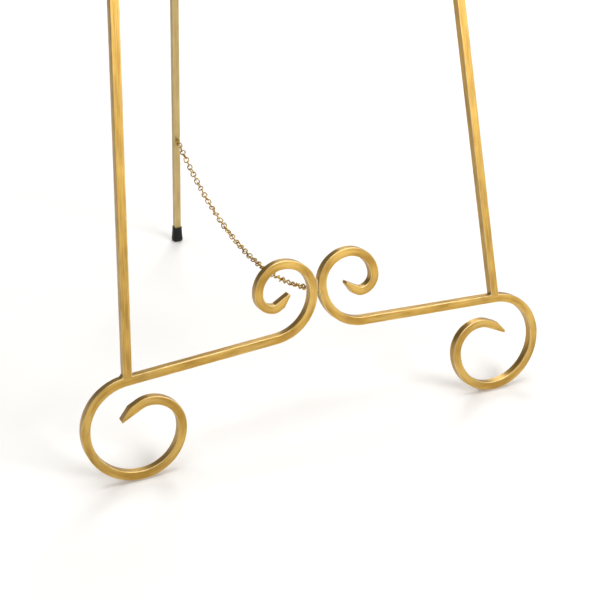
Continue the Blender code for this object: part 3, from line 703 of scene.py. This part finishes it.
def smooth_route(points):
    """Even points along the Catmull-Rom curve through a route's points."""
    knots = np.array(points, dtype=float)
    knots = np.concatenate([2 * knots[:1] - knots[1:2], knots, 2 * knots[-1:] - knots[-2:-1]])
    t = np.linspace(0.0, 1.0, KNOT_STEPS, endpoint=False)[None, :, None]
    p0, p1, p2, p3 = (knots[k:len(knots) - 3 + k, None, :] for k in range(4))
    curve = 0.5 * (2 * p1 + (p2 - p0) * t + (2 * p0 - 5 * p1 + 4 * p2 - p3) * t ** 2
                   + (3 * p1 - p0 - 3 * p2 + p3) * t ** 3)
    curve = np.concatenate([curve.reshape(-1, 3), knots[-2:-1]])
    run = np.concatenate([[0.0], np.cumsum(np.linalg.norm(np.diff(curve, axis=0), axis=1))])
    places = np.linspace(0.0, run[-1], max(2, round(run[-1] / CHAIN_STEP) + 1))
    return np.stack([np.interp(places, run, curve[:, k]) for k in range(3)], axis=1), run[-1]


def link_surface():
    """One chain link lying along X: a wire carried round an oval. The oval is two half circles joined by
    straight sides. Returns (around, wire, 3) points with the wire's own angle as the second parameter."""
    turn = np.linspace(0.0, 2 * pi, LINK_AROUND, endpoint=False)
    radius = (LINK_WIDTH - LINK_WIRE) / 2
    straight = (LINK_PITCH + LINK_WIRE) / 2 - radius
    outward = np.stack([np.cos(turn), np.sin(turn), np.zeros_like(turn)], axis=-1)
    shift = straight * np.clip(np.cos(turn) * SIDE_SPREAD, -1.0, 1.0)
    middle = radius * outward + np.stack([shift, np.zeros_like(turn), np.zeros_like(turn)], axis=-1)
    spin = np.linspace(0.0, 2 * pi, WIRE_AROUND, endpoint=False)
    wire = LINK_WIRE / 2 * (np.cos(spin)[None, :, None] * outward[:, None, :]
                            + np.sin(spin)[None, :, None] * np.array([0.0, 0.0, 1.0]))
    return middle[:, None, :] + wire


def make_chain():
    """Round-wire cable chain: each link is the same oval, set on the route and turned about it by a quarter
    turn from its neighbour, with a slow twist and a little scatter. The end links lie level, so that they
    hook into the eyes."""
    route, length = smooth_route([(0.0, FRAME_Y + back, height) for back, height in CHAIN_ROUTE])
    ways = np.array([route[0] - route[1], route[-1] - route[-2]])
    ways = ways / np.linalg.norm(ways, axis=1)[:, None] * LINK_HOOKED
    drawn = np.concatenate([route[:1] + ways[:1], route, route[-1:] + ways[1:]])
    run = np.concatenate([[0.0], np.cumsum(np.linalg.norm(np.diff(drawn, axis=0), axis=1))])
    count = round(run[-1] / LINK_PITCH / 2 - 0.5) * 2 + 1
    places = np.linspace(0.0, run[-1], count + 1)
    ends = np.stack([np.interp(places, run, drawn[:, k]) for k in range(3)], axis=1)
    centre = (ends[1:] + ends[:-1]) / 2
    way = ends[1:] - ends[:-1]
    way /= np.linalg.norm(way, axis=1)[:, None]
    rng = np.random.default_rng(LINK_SEED)
    number = np.arange(count)
    to_end = np.minimum(number, count - 1 - number)
    hold = np.clip(to_end / LINKS_TO_LEVEL, 0.0, 1.0)
    front_share = number / count
    roll = LINK_ROLL + LINK_TWIST * front_share ** 2 + rng.normal(0.0, LINK_SCATTER, count)
    roll = number % 2 * pi / 2 + hold * roll
    swing = hold[:, None] * rng.normal(0.0, LINK_SWING, (count, 3))
    way = way + np.cross(swing, way)
    way /= np.linalg.norm(way, axis=1)[:, None]
    level = np.tile([1.0, 0.0, 0.0], (count, 1))
    upright = np.cross(way, level)
    upright /= np.linalg.norm(upright, axis=1)[:, None]
    level = np.cross(upright, way)
    side = np.cos(roll)[:, None] * level + np.sin(roll)[:, None] * upright
    normal = np.cross(way, side)
    shape = link_surface()
    links = (centre[:, None, None, :] + shape[None, ..., :1] * way[:, None, None, :]
             + shape[None, ..., 1:2] * side[:, None, None, :]
             + shape[None, ..., 2:] * normal[:, None, None, :])
    i = np.arange(LINK_AROUND)[:, None]
    j = np.arange(WIRE_AROUND)[None, :]
    ni = (i + 1) % LINK_AROUND
    nj = (j + 1) % WIRE_AROUND
    quad = np.stack([i * WIRE_AROUND + j, ni * WIRE_AROUND + j, ni * WIRE_AROUND + nj, i * WIRE_AROUND + nj],
                    axis=-1).reshape(-1, 4)
    one = shape.reshape(-1, 3)
    if signed_volume(one, np.concatenate([quad[:, :3], quad[:, [0, 2, 3]]])) < 0:
        quad = quad[:, ::-1]
    quads = (quad[None] + number[:, None, None] * len(one)).reshape(-1, 4)
    mesh = bpy.data.meshes.new("safety_chain")
    mesh.from_pydata(links.reshape(-1, 3).tolist(), [], quads.tolist())
    mesh.shade_smooth()
    mesh.materials.append(chain_finish)
    chain = bpy.data.objects.new("safety_chain", mesh)
    bpy.context.scene.collection.objects.link(chain)
    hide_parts("chain")
    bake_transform(chain)


# Bars of the front frame

def make_scrolls():
    """Base and crest S-scrolls, mirrored left and right."""
    for word, side in (("left", -1), ("right", 1)):
        for kind, path, outer, centre in (("base", BASE_PATH, 1.0, 1.0),
                                          ("crest", CREST_PATH, CREST_OUTER_SCALE, CREST_CENTRE_SCALE)):
            beaks = ((-1, FOOT_BEAK[1] * outer), (1, CENTRE_BEAK[1] * centre))
            shell = bent_bar(path, beaks, in_frame(side))
            make_piece(f"{word}_{kind}_scroll_bar", [shell], front_gold, f"{word}_{kind}_scroll",
                       "front_frame")


def straight_bar(first, last):
    """Shell of a square bar between two end sections, each given as a function of (across, depth) that
    returns world points."""
    ones = np.ones(STRAIGHT_RINGS)
    section, around, edge_highlight_share = rounded_section(-BAR / 2 * ones, BAR / 2 * ones, 0 * ones, BAR * ones,
                                            EDGE * ones)
    share = np.linspace(0.0, 1.0, STRAIGHT_RINGS)
    start = first(section[..., 0], section[..., 1])
    rings = start + (last(section[..., 0], section[..., 1]) - start) * share[:, None, None]
    length = float(np.linalg.norm(rings[-1].mean(axis=0) - rings[0].mean(axis=0)))
    return grid_shell(rings, share * length, around, edge_highlight_share)


def make_front_legs():
    """Legs from the rail to the crest. Both ends run a little into the scrolls, proud of them by a hair,
    where the weld is ground flush."""
    top_x = leg_x(LEG_TOP_HEIGHT)
    way = np.array([-sin(LEG_CONVERGENCE), cos(LEG_CONVERGENCE)])
    for word, side in (("left", -1), ("right", 1)):
        def end(middle_x, level, slope, side=side):
            def section(across, depth):
                x = LEG_FOOT_X + across * cos(LEG_CONVERGENCE)
                z = across * sin(LEG_CONVERGENCE)
                run = (level - (x - middle_x) * tan(slope) - z) / (way[1] + way[0] * tan(slope))
                place = [side * (x + way[0] * run), depth - PROUD, z + way[1] * run]
                return frame_to_world(np.stack(place, axis=-1))
            return section

        foot = end(LEG_FOOT_X, BAR / 2 / cos(RAIL_SLOPE) - SUNK, RAIL_SLOPE)
        head = end(top_x, CREST_Z - BAR / 2 / cos(CREST_SLOPE) + SUNK, CREST_SLOPE)
        make_piece(f"{word}_leg_bar", [straight_bar(foot, head)], front_gold, f"{word}_front_leg",
                   "front_frame")


def make_cross_bars():
    """Ledge bar and top crossbar between the legs' inner faces."""
    for name, node, height in (("picture_ledge_bar", "ledge_bar", LEDGE_HEIGHT),
                               ("crown_crossbar", "top_crossbar", CROSSBAR_HEIGHT)):
        def end(side, height=height):
            def section(across, depth):
                x = leg_x(height + across) - BAR / 2 / cos(LEG_CONVERGENCE)
                return frame_to_world(np.stack([side * x, depth + PROUD, height + across], axis=-1))
            return section

        make_piece(name, [straight_bar(end(-1), end(1))], front_gold, node, "front_frame")


def make_hooks():
    """Picture hooks: level arm, upward bend and a lip that curls forwards to a beak."""
    path = follow((-GAP, LEDGE_HEIGHT), 0.0, [
        ("run", HOOK_REACH + 2 * GAP), ("turn", HOOK_BEND, -pi / 2), ("run", HOOK_RISE),
        ("turn", HOOK_CURL, HOOK_CURL_TURN), ("run", HOOK_BEAK),
    ])
    for word, side in (("left", -1), ("right", 1)):
        def place(forward, z, depth, side=side):
            return frame_to_world(np.stack([side * HOOK_X + depth - BAR / 2, -forward, z], axis=-1))

        shell = bent_bar(path, ((0, 1.0), (1, HOOK_BEAK)), place)
        make_piece(f"{word}_hook_bar", [shell], front_gold, f"{word}_picture_hook",
                   "front_frame")


# Welds

def lumps(a, b, seed):
    """Smooth bumpy field over two parameters: a sum of sine waves of seeded direction and phase, with
    values about between -1 and 1."""
    rng = np.random.default_rng(seed)
    total = np.zeros(np.broadcast(a, b).shape)
    for _ in range(LUMP_WAVES):
        turn, phase = rng.uniform(0.0, 2 * pi, 2)
        total = total + np.sin(rng.uniform(*LUMP_RATES) * (a * cos(turn) + b * sin(turn)) + phase)
    return total / (LUMP_WAVES / 2)


def fillet_shell(corner, along, up, depth, first, length, size, seed):
    """Rippled fillet bead in the corner between two faces.

    Its outline runs along one face, back over a hollow curve and down the other face. It is carried along
    depth, shrinks at both ends, and its free side swells and sinks with the ripples and lumps.
    """
    ring = np.linspace(0.0, 1.0, BEAD_AROUND)
    share = np.linspace(0.0, 1.0, BEAD_ALONG)
    turn = pi / 2 * ring
    out = (1 - np.sin(turn)) ** BEAD_HOLLOW
    high = (1 - np.cos(turn)) ** BEAD_HOLLOW
    ends = np.sqrt(np.clip(1 - np.abs(2 * share - 1) ** 3, 0.0, 1.0))
    ends = ends * (1 - BEAD_END_SHARE) + BEAD_END_SHARE
    free = np.sin(2 * turn)
    ripples = np.sin(share[:, None] * length / BEAD_RIPPLE * 2 * pi)
    bumps = lumps(share[:, None] * 6, ring[None, :] * 4, seed)
    swell = 1 + free[None, :] * (BEAD_RIPPLE_SWELL * ripples + BEAD_LUMP_SWELL * bumps)
    scale = (size * ends)[:, None] * swell
    curve = scale[..., None] * (out[None, :, None] * along + high[None, :, None] * up)
    inside = np.broadcast_to(-BEAD_BACK * size * (along + up), (len(share), 1, 3))
    lift = -BEAD_LIFT * size * (along + up) * np.ones((len(share), 1, 1))
    rings = np.concatenate([curve + lift, inside + lift], axis=1)
    rings = rings + corner + depth * (first + length * share)[:, None, None]
    around = np.linspace(0.0, 2 * size, len(ring) + 2)
    return grid_shell(frame_to_world(rings), share * length, around)


def unit(x, y, z):
    """Unit vector with the given direction."""
    return np.array([x, y, z]) / np.linalg.norm([x, y, z])


def make_bead(name, node, shells):
    """Piece of weld metal on the front frame."""
    make_piece(name, shells, weld_finish, node, "front_frame")


def make_beads():
    """Beads on the legs' feet, under the cross bars, under the crest and under the hooks."""
    depth = np.array([0.0, 1.0, 0.0])
    half = BAR / 2 / cos(LEG_CONVERGENCE)
    top = BAR / 2 / cos(RAIL_SLOPE)
    lean = tan(LEG_CONVERGENCE)
    first = BEAD_MARGIN
    length = BAR - 2 * BEAD_MARGIN
    for seed, (word, side) in enumerate((("left", -1), ("right", 1))):
        up = unit(-side * sin(LEG_CONVERGENCE), 0.0, cos(LEG_CONVERGENCE))
        outer = LEG_FOOT_X + half - top * lean
        inner = LEG_FOOT_X - half - top * lean
        out_corner = np.array([side * outer, 0.0, rail_z(outer) + top])
        in_corner = np.array([side * inner, 0.0, rail_z(inner) + top])
        along = unit(side * cos(RAIL_SLOPE), 0.0, -sin(RAIL_SLOPE))
        shells = [fillet_shell(out_corner, along, up, depth, first - BEAD_FRONT_REACH,
                               length + BEAD_FRONT_REACH, BEAD, 11 + seed),
                  fillet_shell(in_corner, -along, up, depth, first, length, BEAD * INNER_BEAD_SHARE,
                               21 + seed)]
        make_bead(f"{word}_leg_bead", f"{word}_leg_weld", shells)

        for name, node, height in (("ledge_bead", "ledge_weld", LEDGE_HEIGHT),
                                   ("crossbar_bead", "crossbar_weld", CROSSBAR_HEIGHT)):
            z = height - BAR / 2
            corner = np.array([side * (leg_x(z) - half), 0.0, z])
            shell = fillet_shell(corner, unit(-side, 0.0, 0.0), -up, depth, first, length, BEAD, 31 + seed)
            make_bead(f"{word}_{name}", f"{word}_{node}", [shell])

        x = leg_x(LEG_TOP_HEIGHT) - half
        corner = np.array([side * x, 0.0, LEG_TOP_HEIGHT + (leg_x(LEG_TOP_HEIGHT) - x) * tan(CREST_SLOPE)])
        inwards = unit(-side * cos(CREST_SLOPE), 0.0, sin(CREST_SLOPE))
        shell = fillet_shell(corner, inwards, -up, depth, first, length, BEAD, 41 + seed)
        make_bead(f"{word}_crest_bead", f"{word}_crest_weld", [shell])

        corner = np.array([side * HOOK_X, 0.0, LEDGE_HEIGHT - BAR / 2])
        shell = fillet_shell(corner, unit(0.0, -1.0, 0.0), unit(0.0, 0.0, -1.0), np.array([1.0, 0.0, 0.0]),
                             first - BAR / 2, length, BEAD, 51 + seed)
        make_bead(f"{word}_hook_bead", f"{word}_hook_weld", [shell])


def centre_weld_shell(path, half_height, seed):
    """Lumpy weld in the wedge between two mirrored scrolls: a soft-cornered block as wide as the space
    between their faces at every height, whose front and back swell and sink."""
    _, normal = path_frame(path)
    face = path + normal * BAR / 2
    centre_part = np.arange(len(path)) > len(path) * 0.5
    closest = int(np.argmin(np.where(centre_part, face[:, 0], 1.0)))
    reach = CENTRE_WELD_REACH
    face = face[closest - reach:closest + reach + 1]
    face = face[np.argsort(face[:, 1])]
    share = np.linspace(-1.0, 1.0, CENTRE_WELD_STEPS)
    z = path[closest][1] + half_height * share
    half = np.interp(z, face[:, 1], face[:, 0]) + CENTRE_WELD_BITE
    turn = np.linspace(0.0, 2 * pi, CENTRE_WELD_STEPS)[:-1]
    ends = np.sqrt(np.clip(1 - share ** 6, 0.0, 1.0)) * 0.5 + 0.5
    x = np.sign(np.cos(turn)) * np.abs(np.cos(turn)) ** CENTRE_WELD_SQUARE[0]
    y = np.sign(np.sin(turn)) * np.abs(np.sin(turn)) ** CENTRE_WELD_SQUARE[1]
    swell = lumps(share[:, None] * 9, turn[None, :] * 2, seed)
    depth = BAR / 2 + y[None, :] * ends[:, None] * (BAR / 2 - BEAD_MARGIN) * (1 + CENTRE_WELD_SWELL * swell)
    rings = np.stack([half[:, None] * x[None, :], depth, np.broadcast_to(z[:, None], depth.shape)], axis=-1)
    run = (share + 1) * half_height
    around = np.linspace(0.0, 2 * BAR, len(turn) + 1)
    return grid_shell(frame_to_world(rings), run, around), path[closest][1]


def lump_shell(place, radii, seed):
    """Lumpy drop of weld metal: an ellipsoid whose surface swells and sinks with the bumps."""
    turn = np.linspace(0.0, 2 * pi, 25)
    rise = np.linspace(-LUMP_RISE, LUMP_RISE, 15)
    swell = 1 + LUMP_SWELL * lumps(rise[:, None] * 2, turn[None, :-1] * 2, seed)
    swell = (swell + swell[:, ::-1]) / 2
    x = radii[0] * swell * np.cos(rise)[:, None] * np.cos(turn[:-1])
    y = radii[1] * swell * np.cos(rise)[:, None] * np.sin(turn[:-1])
    z = radii[2] * swell * np.sin(rise)[:, None]
    return grid_shell(frame_to_world(np.stack([x, y, z], axis=-1) + np.array(place)), rise * radii[2],
                      turn * radii[0])


def make_centre_welds():
    """Welds where the two base scrolls and the two crest scrolls touch."""
    for name, node, path, scale, seed in (("base_centre_lump", "base_centre_weld", BASE_PATH, 1.0, 61),
                                          ("crest_centre_lump", "crest_centre_weld", CREST_PATH,
                                           CREST_CENTRE_SCALE, 62)):
        shell, touch_z = centre_weld_shell(path, CENTRE_WELD_HALF_HEIGHT * scale, seed)
        lump = lump_shell((LUMP_X, LUMP_SINK, touch_z - LUMP_DROP * scale), LUMP_RADII, seed + 10)
        make_bead(name, node, [shell, lump])


# Hinge

def about_bolt(along, radius, turn):
    """World points at a distance along the hinge bolt and a radius and turn about it."""
    shape = np.broadcast(along, radius, turn).shape
    x = np.broadcast_to(along, shape)
    return frame_to_world(np.stack([x, AXIS_BACK + radius * np.cos(turn), CROSSBAR_HEIGHT
                                    + radius * np.sin(turn)], axis=-1))


def hexagon(turn, flats):
    """Radius of a hexagon of a given width over its flats at each turn about its middle."""
    return flats / 2 / np.cos((turn + pi / 6) % (pi / 3) - pi / 6)


def make_bracket():
    """Channel of bent plate: the plate is carried along its U, and both cheeks end in a half-round lobe
    about the bolt."""
    bend = PLATE * BEND_SHARE
    reach = CHEEK_BACK - WEB_FRONT - PLATE / 2 - bend
    middle = CHEEK_INNER + PLATE / 2
    path = follow((-middle, CHEEK_BACK), -pi / 2, [
        ("run", reach), ("turn", bend, -pi / 2), ("run", 2 * (middle - bend)), ("turn", bend, -pi / 2),
        ("run", reach)])
    run, normal = path_frame(path)
    lobe_run = np.linspace(0, CHEEK_HALF_HEIGHT, LOBE_STEPS)
    fine = np.unique(np.concatenate([run, lobe_run, run[-1] - lobe_run]))
    path = np.stack([np.interp(fine, run, path[:, k]) for k in range(2)], axis=1)
    normal = np.stack([np.interp(fine, run, normal[:, k]) for k in range(2)], axis=1)
    to_end = np.minimum(fine, fine[-1] - fine)
    lobe = np.clip(1 - to_end / CHEEK_HALF_HEIGHT, 0.0, LOBE_END)
    height = CHEEK_HALF_HEIGHT * np.sqrt(1 - lobe ** 2)
    ones = np.ones(len(fine))
    section, around, edge_highlight_share = rounded_section(-PLATE / 2 * ones, PLATE / 2 * ones, -height, height,
                                            BRACKET_EDGE * ones)
    flat = path[:, None, :] + section[..., :1] * normal[:, None, :]
    rings = frame_to_world(np.stack([flat[..., 0], flat[..., 1], CROSSBAR_HEIGHT + section[..., 1]], axis=-1))
    make_piece("hinge_channel", [grid_shell(rings, fine, around, edge_highlight_share)], front_gold, "hinge_bracket",
               "front_frame")


def make_bolt():
    """Button-head bolt: a profile turned about its axis, with a six-sided socket in the head and a thread on
    the end that shows outside the nut."""
    turn = np.linspace(0.0, 2 * pi, BOLT_AROUND)[:-1]
    head = CHEEK_OUTER + GAP
    end = -(CHEEK_OUTER + GAP + NUT_HEIGHT + BOLT_END)
    thread = np.linspace(end, end + BOLT_END + THREAD_ON, 33)
    helix = thread[:, None] / THREAD_PITCH - turn[None, :] / (2 * pi)
    crest = THREAD_DEPTH * np.cos(helix * 2 * pi)
    taper = np.clip((thread - end) / THREAD_LEAD_IN, 0.0, 1.0)
    threaded = BOLT_RADIUS - THREAD_RELIEF - THREAD_LEAD_IN * (1 - taper[:, None]) + crest
    rim_turn = np.linspace(0.0, DOME_TURN, DOME_STEPS)
    dome_along = head + HEAD_RIM + (BOLT_HEAD_HEIGHT - HEAD_RIM) * np.sin(rim_turn)
    dome_radius = BOLT_HEAD_RADIUS * np.cos(rim_turn)
    socket = hexagon(turn, SOCKET_FLATS)
    along = np.concatenate([thread, [end + BOLT_END + SHANK_START, head, head], dome_along,
                            [dome_along[-1] - SOCKET_BEVEL, dome_along[-1] - SOCKET_DEPTH]])
    ones = np.ones((1, len(turn)))
    radius = np.concatenate([threaded, BOLT_RADIUS * ones, BOLT_RADIUS * ones,
                             (BOLT_HEAD_RADIUS - HEAD_BEVEL) * ones, dome_radius[:, None] * ones,
                             socket[None, :], socket[None, :] * SOCKET_TAPER])
    rings = about_bolt(along[:, None], radius, turn[None, :])
    run = np.concatenate([[0.0], np.cumsum(np.abs(np.diff(along)) + LEAST_RUN)])
    shell = grid_shell(rings, run, turn[1] * BOLT_RADIUS * np.arange(len(turn) + 1))
    make_piece("button_head_bolt", [shell], plating, "hinge_bolt", "front_frame")


def ring_shell(first, last, hole, outer, bevel):
    """Ring about the bolt with a bevelled rim. outer is the rim's radius at each turn; the profile is the
    same at every turn except for that radius."""
    turn = np.linspace(0.0, 2 * pi, NUT_AROUND)[:-1]
    rim = outer(turn)
    inset = (rim - rim.min()) * BEVEL_SLOPE + bevel
    ones = np.ones(len(turn))
    along = np.stack([ones * first, ones * first, first + inset * BEVEL_SLOPE, last - inset * BEVEL_SLOPE,
                      ones * last, ones * last], axis=-1)
    face = ones * (rim.min() - bevel)
    radius = np.stack([ones * hole, face, rim, rim, face, ones * hole], axis=-1)
    rings = about_bolt(along, radius, turn[:, None])
    around = BOLT_RADIUS * np.linspace(0.0, 2 * pi, NUT_AROUND)
    return grid_shell(rings, around, np.linspace(0.0, RING_PROFILE, 7), loop=True)


def make_nut_and_washers():
    """Hexagon nut outside the left cheek, and a washer between the leg and each cheek."""
    nut = ring_shell(-(CHEEK_OUTER + GAP + NUT_HEIGHT), -(CHEEK_OUTER + GAP), BOLT_RADIUS,
                     lambda turn: hexagon(turn, NUT_FLATS), NUT_BEVEL)
    make_piece("hexagon_nut", [nut], plating, "hinge_nut", "front_frame")
    for word, side in (("left", -1), ("right", 1)):
        inner = side * (REAR_BAR / 2 + GAP)
        washer = ring_shell(inner, inner + side * WASHER, BOLT_RADIUS,
                            lambda turn: np.full(len(turn), 2 * BOLT_RADIUS), WASHER_BEVEL)
        make_piece(f"{word}_washer_disc", [washer], plating, f"hinge_washer_{word}",
                   "front_frame")


# Rear leg

def up_the_leg(height, y):
    """Distance up the rear leg of the point at a world height, for a distance back in the leg's axes."""
    return (height - axis_place.z - y * sin(REAR_LEAN)) / cos(REAR_LEAN)


def make_rear_leg():
    """Straight bar from inside the rubber tip to just above the bolt, where its front and back are rounded
    off on a quarter circle."""
    foot = up_the_leg(TIP_SOLE + GAP, 0.0)
    turn = np.linspace(0.0, LEG_TOP_TURN, 8)
    level = np.concatenate([np.linspace(foot, LEG_OVER_AXIS - LEG_TOP_ROUND, STRAIGHT_RINGS),
                            LEG_OVER_AXIS - LEG_TOP_ROUND * (1 - np.sin(turn[1:]))])
    inset = np.concatenate([np.zeros(STRAIGHT_RINGS), LEG_TOP_ROUND * (1 - np.cos(turn[1:]))])
    ones = np.ones(len(level))
    half = REAR_BAR / 2
    section, around, edge_highlight_share = rounded_section(-half * ones, half * ones, inset - half, half - inset,
                                            EDGE * ones)
    levels = np.broadcast_to(level[:, None, None], (*section.shape[:2], 1))
    rings = np.concatenate([section, levels], axis=-1)
    shell = grid_shell(rear_to_world(rings), level - foot, around, edge_highlight_share)
    make_piece("rear_leg_bar", [shell], rear_gold, "rear_leg", "rear_leg_body")


def soft_square(width, corner, turn):
    """Square with round corners: for each turn about the middle, the point of a square of side
    width - 2 corner in the same quarter, moved outwards by the corner radius."""
    flat = width / 2 - corner
    x, y = (flat[:, None] * np.clip(way * SIDE_SPREAD, -1, 1)[None, :] + corner[:, None] * way[None, :]
            for way in (np.cos(turn), np.sin(turn)))
    return x, y


def make_tip():
    """Rubber cup: soft squares stacked up the leg. The sole is flat with a round rim, the wall tapers
    upwards with a slight waist, the mouth has a rolled lip, and the inside follows the bar."""
    wall = np.linspace(0.0, 1.0, 18)
    rim = np.linspace(0.0, pi / 2, 7)
    lip = np.linspace(0.0, pi, 9)
    edge = TIP_EDGE
    taper = TIP_FOOT_WIDTH + (TIP_TOP_WIDTH - TIP_LIP_NECK - TIP_FOOT_WIDTH) * wall ** TIP_CURVE
    socket = REAR_BAR + 2 * GAP
    mouth = (TIP_TOP_WIDTH - socket) / 2
    climb = edge + (TIP_HEIGHT - TIP_LIP_START - edge) * wall[1:]
    height = np.concatenate([[0.0], edge * (1 - np.cos(rim)), climb,
                             TIP_HEIGHT - TIP_LIP + TIP_LIP * np.sin(lip), [TIP_SOLE]])
    width = np.concatenate([[TIP_FOOT_WIDTH - 2 * edge - TIP_SOLE_INSET],
                            TIP_FOOT_WIDTH - 2 * edge * (1 - np.sin(rim)), taper[1:],
                            TIP_TOP_WIDTH - mouth + mouth * np.cos(lip), [socket]])
    corner_wall = TIP_FOOT_CORNER + (TIP_TOP_CORNER - TIP_FOOT_CORNER) * wall[1:]
    corner = np.concatenate([[TIP_SOLE_CORNER], TIP_FOOT_CORNER - edge * (1 - np.sin(rim)), corner_wall,
                             TIP_TOP_CORNER - TIP_MOUTH_SHARPENS * (1 - np.cos(lip)),
                             [EDGE]])
    turn = np.linspace(0.0, 2 * pi, TIP_AROUND)[:-1]
    x, y = soft_square(width, corner, turn)
    rings = rear_to_world(np.stack([x, y, up_the_leg(height[:, None], y)], axis=-1))
    run = np.concatenate([[0.0], np.cumsum(np.hypot(np.diff(height), np.diff(width) / 2))])
    shell = grid_shell(rings, run, np.linspace(0.0, 4 * TIP_FOOT_WIDTH, len(turn) + 1))
    make_piece("rubber_foot", [shell], rubber, "rear_leg_tip", "rear_leg_body")


# Chain eyes

def eye_shells(centre, toward, to_world):
    """Wire ring that stands in the middle plane, a wire carried round a circle, and its short stem to the
    bar, which widens where it is welded on. toward is 1 when the bar lies in front of the eye."""
    turn = np.linspace(0.0, 2 * pi, 41)
    spin = np.linspace(0.0, 2 * pi, 15)
    radius = EYE_RADIUS + EYE_WIRE / 2 * np.cos(spin[:-1])[None, :]
    x = np.broadcast_to(EYE_WIRE / 2 * np.sin(spin[:-1])[None, :], (len(turn) - 1, len(spin) - 1))
    ring = np.stack([x, radius * np.cos(turn[:-1])[:, None], radius * np.sin(turn[:-1])[:, None]], axis=-1)
    wire = grid_shell(to_world(ring + centre), turn * EYE_RADIUS, spin * EYE_WIRE / 2, loop=True)
    share = np.linspace(0.0, 1.0, 9)
    reach = EYE_RADIUS - EYE_WIRE / 2 + (EYE_WIRE + 2 * GAP + STEM_BITE) * share
    thick = EYE_WIRE / 2 * (STEM_THIN + STEM_FLARE * share ** 3)
    stem = np.stack([thick[:, None] * np.cos(spin[:-1]), -toward * reach[:, None] * np.ones(len(spin) - 1),
                     thick[:, None] * np.sin(spin[:-1])], axis=-1)
    return [wire, grid_shell(to_world(stem + centre), reach, spin * EYE_WIRE / 2)]


def make_eyes():
    """Eye behind the base's centre weld and eye on the front of the rear leg."""
    reach = EYE_RADIUS + EYE_WIRE / 2 + GAP
    front = np.array([0.0, BAR + reach, FRONT_EYE_HEIGHT])
    make_piece("front_wire_eye", eye_shells(front, 1, frame_to_world), chain_finish, "front_chain_eye",
               "front_frame")
    back = -REAR_BAR / 2 - reach
    rear = np.array([0.0, back, up_the_leg(REAR_EYE_HEIGHT, back)])
    make_piece("rear_wire_eye", eye_shells(rear, -1, rear_to_world), chain_finish, "rear_chain_eye",
               "rear_leg_body")


make_camera()
make_studio()
make_chain()
make_scrolls()
make_front_legs()
make_cross_bars()
make_hooks()
make_beads()
make_centre_welds()
make_bracket()
make_bolt()
make_nut_and_washers()
make_rear_leg()
make_tip()
make_eyes()
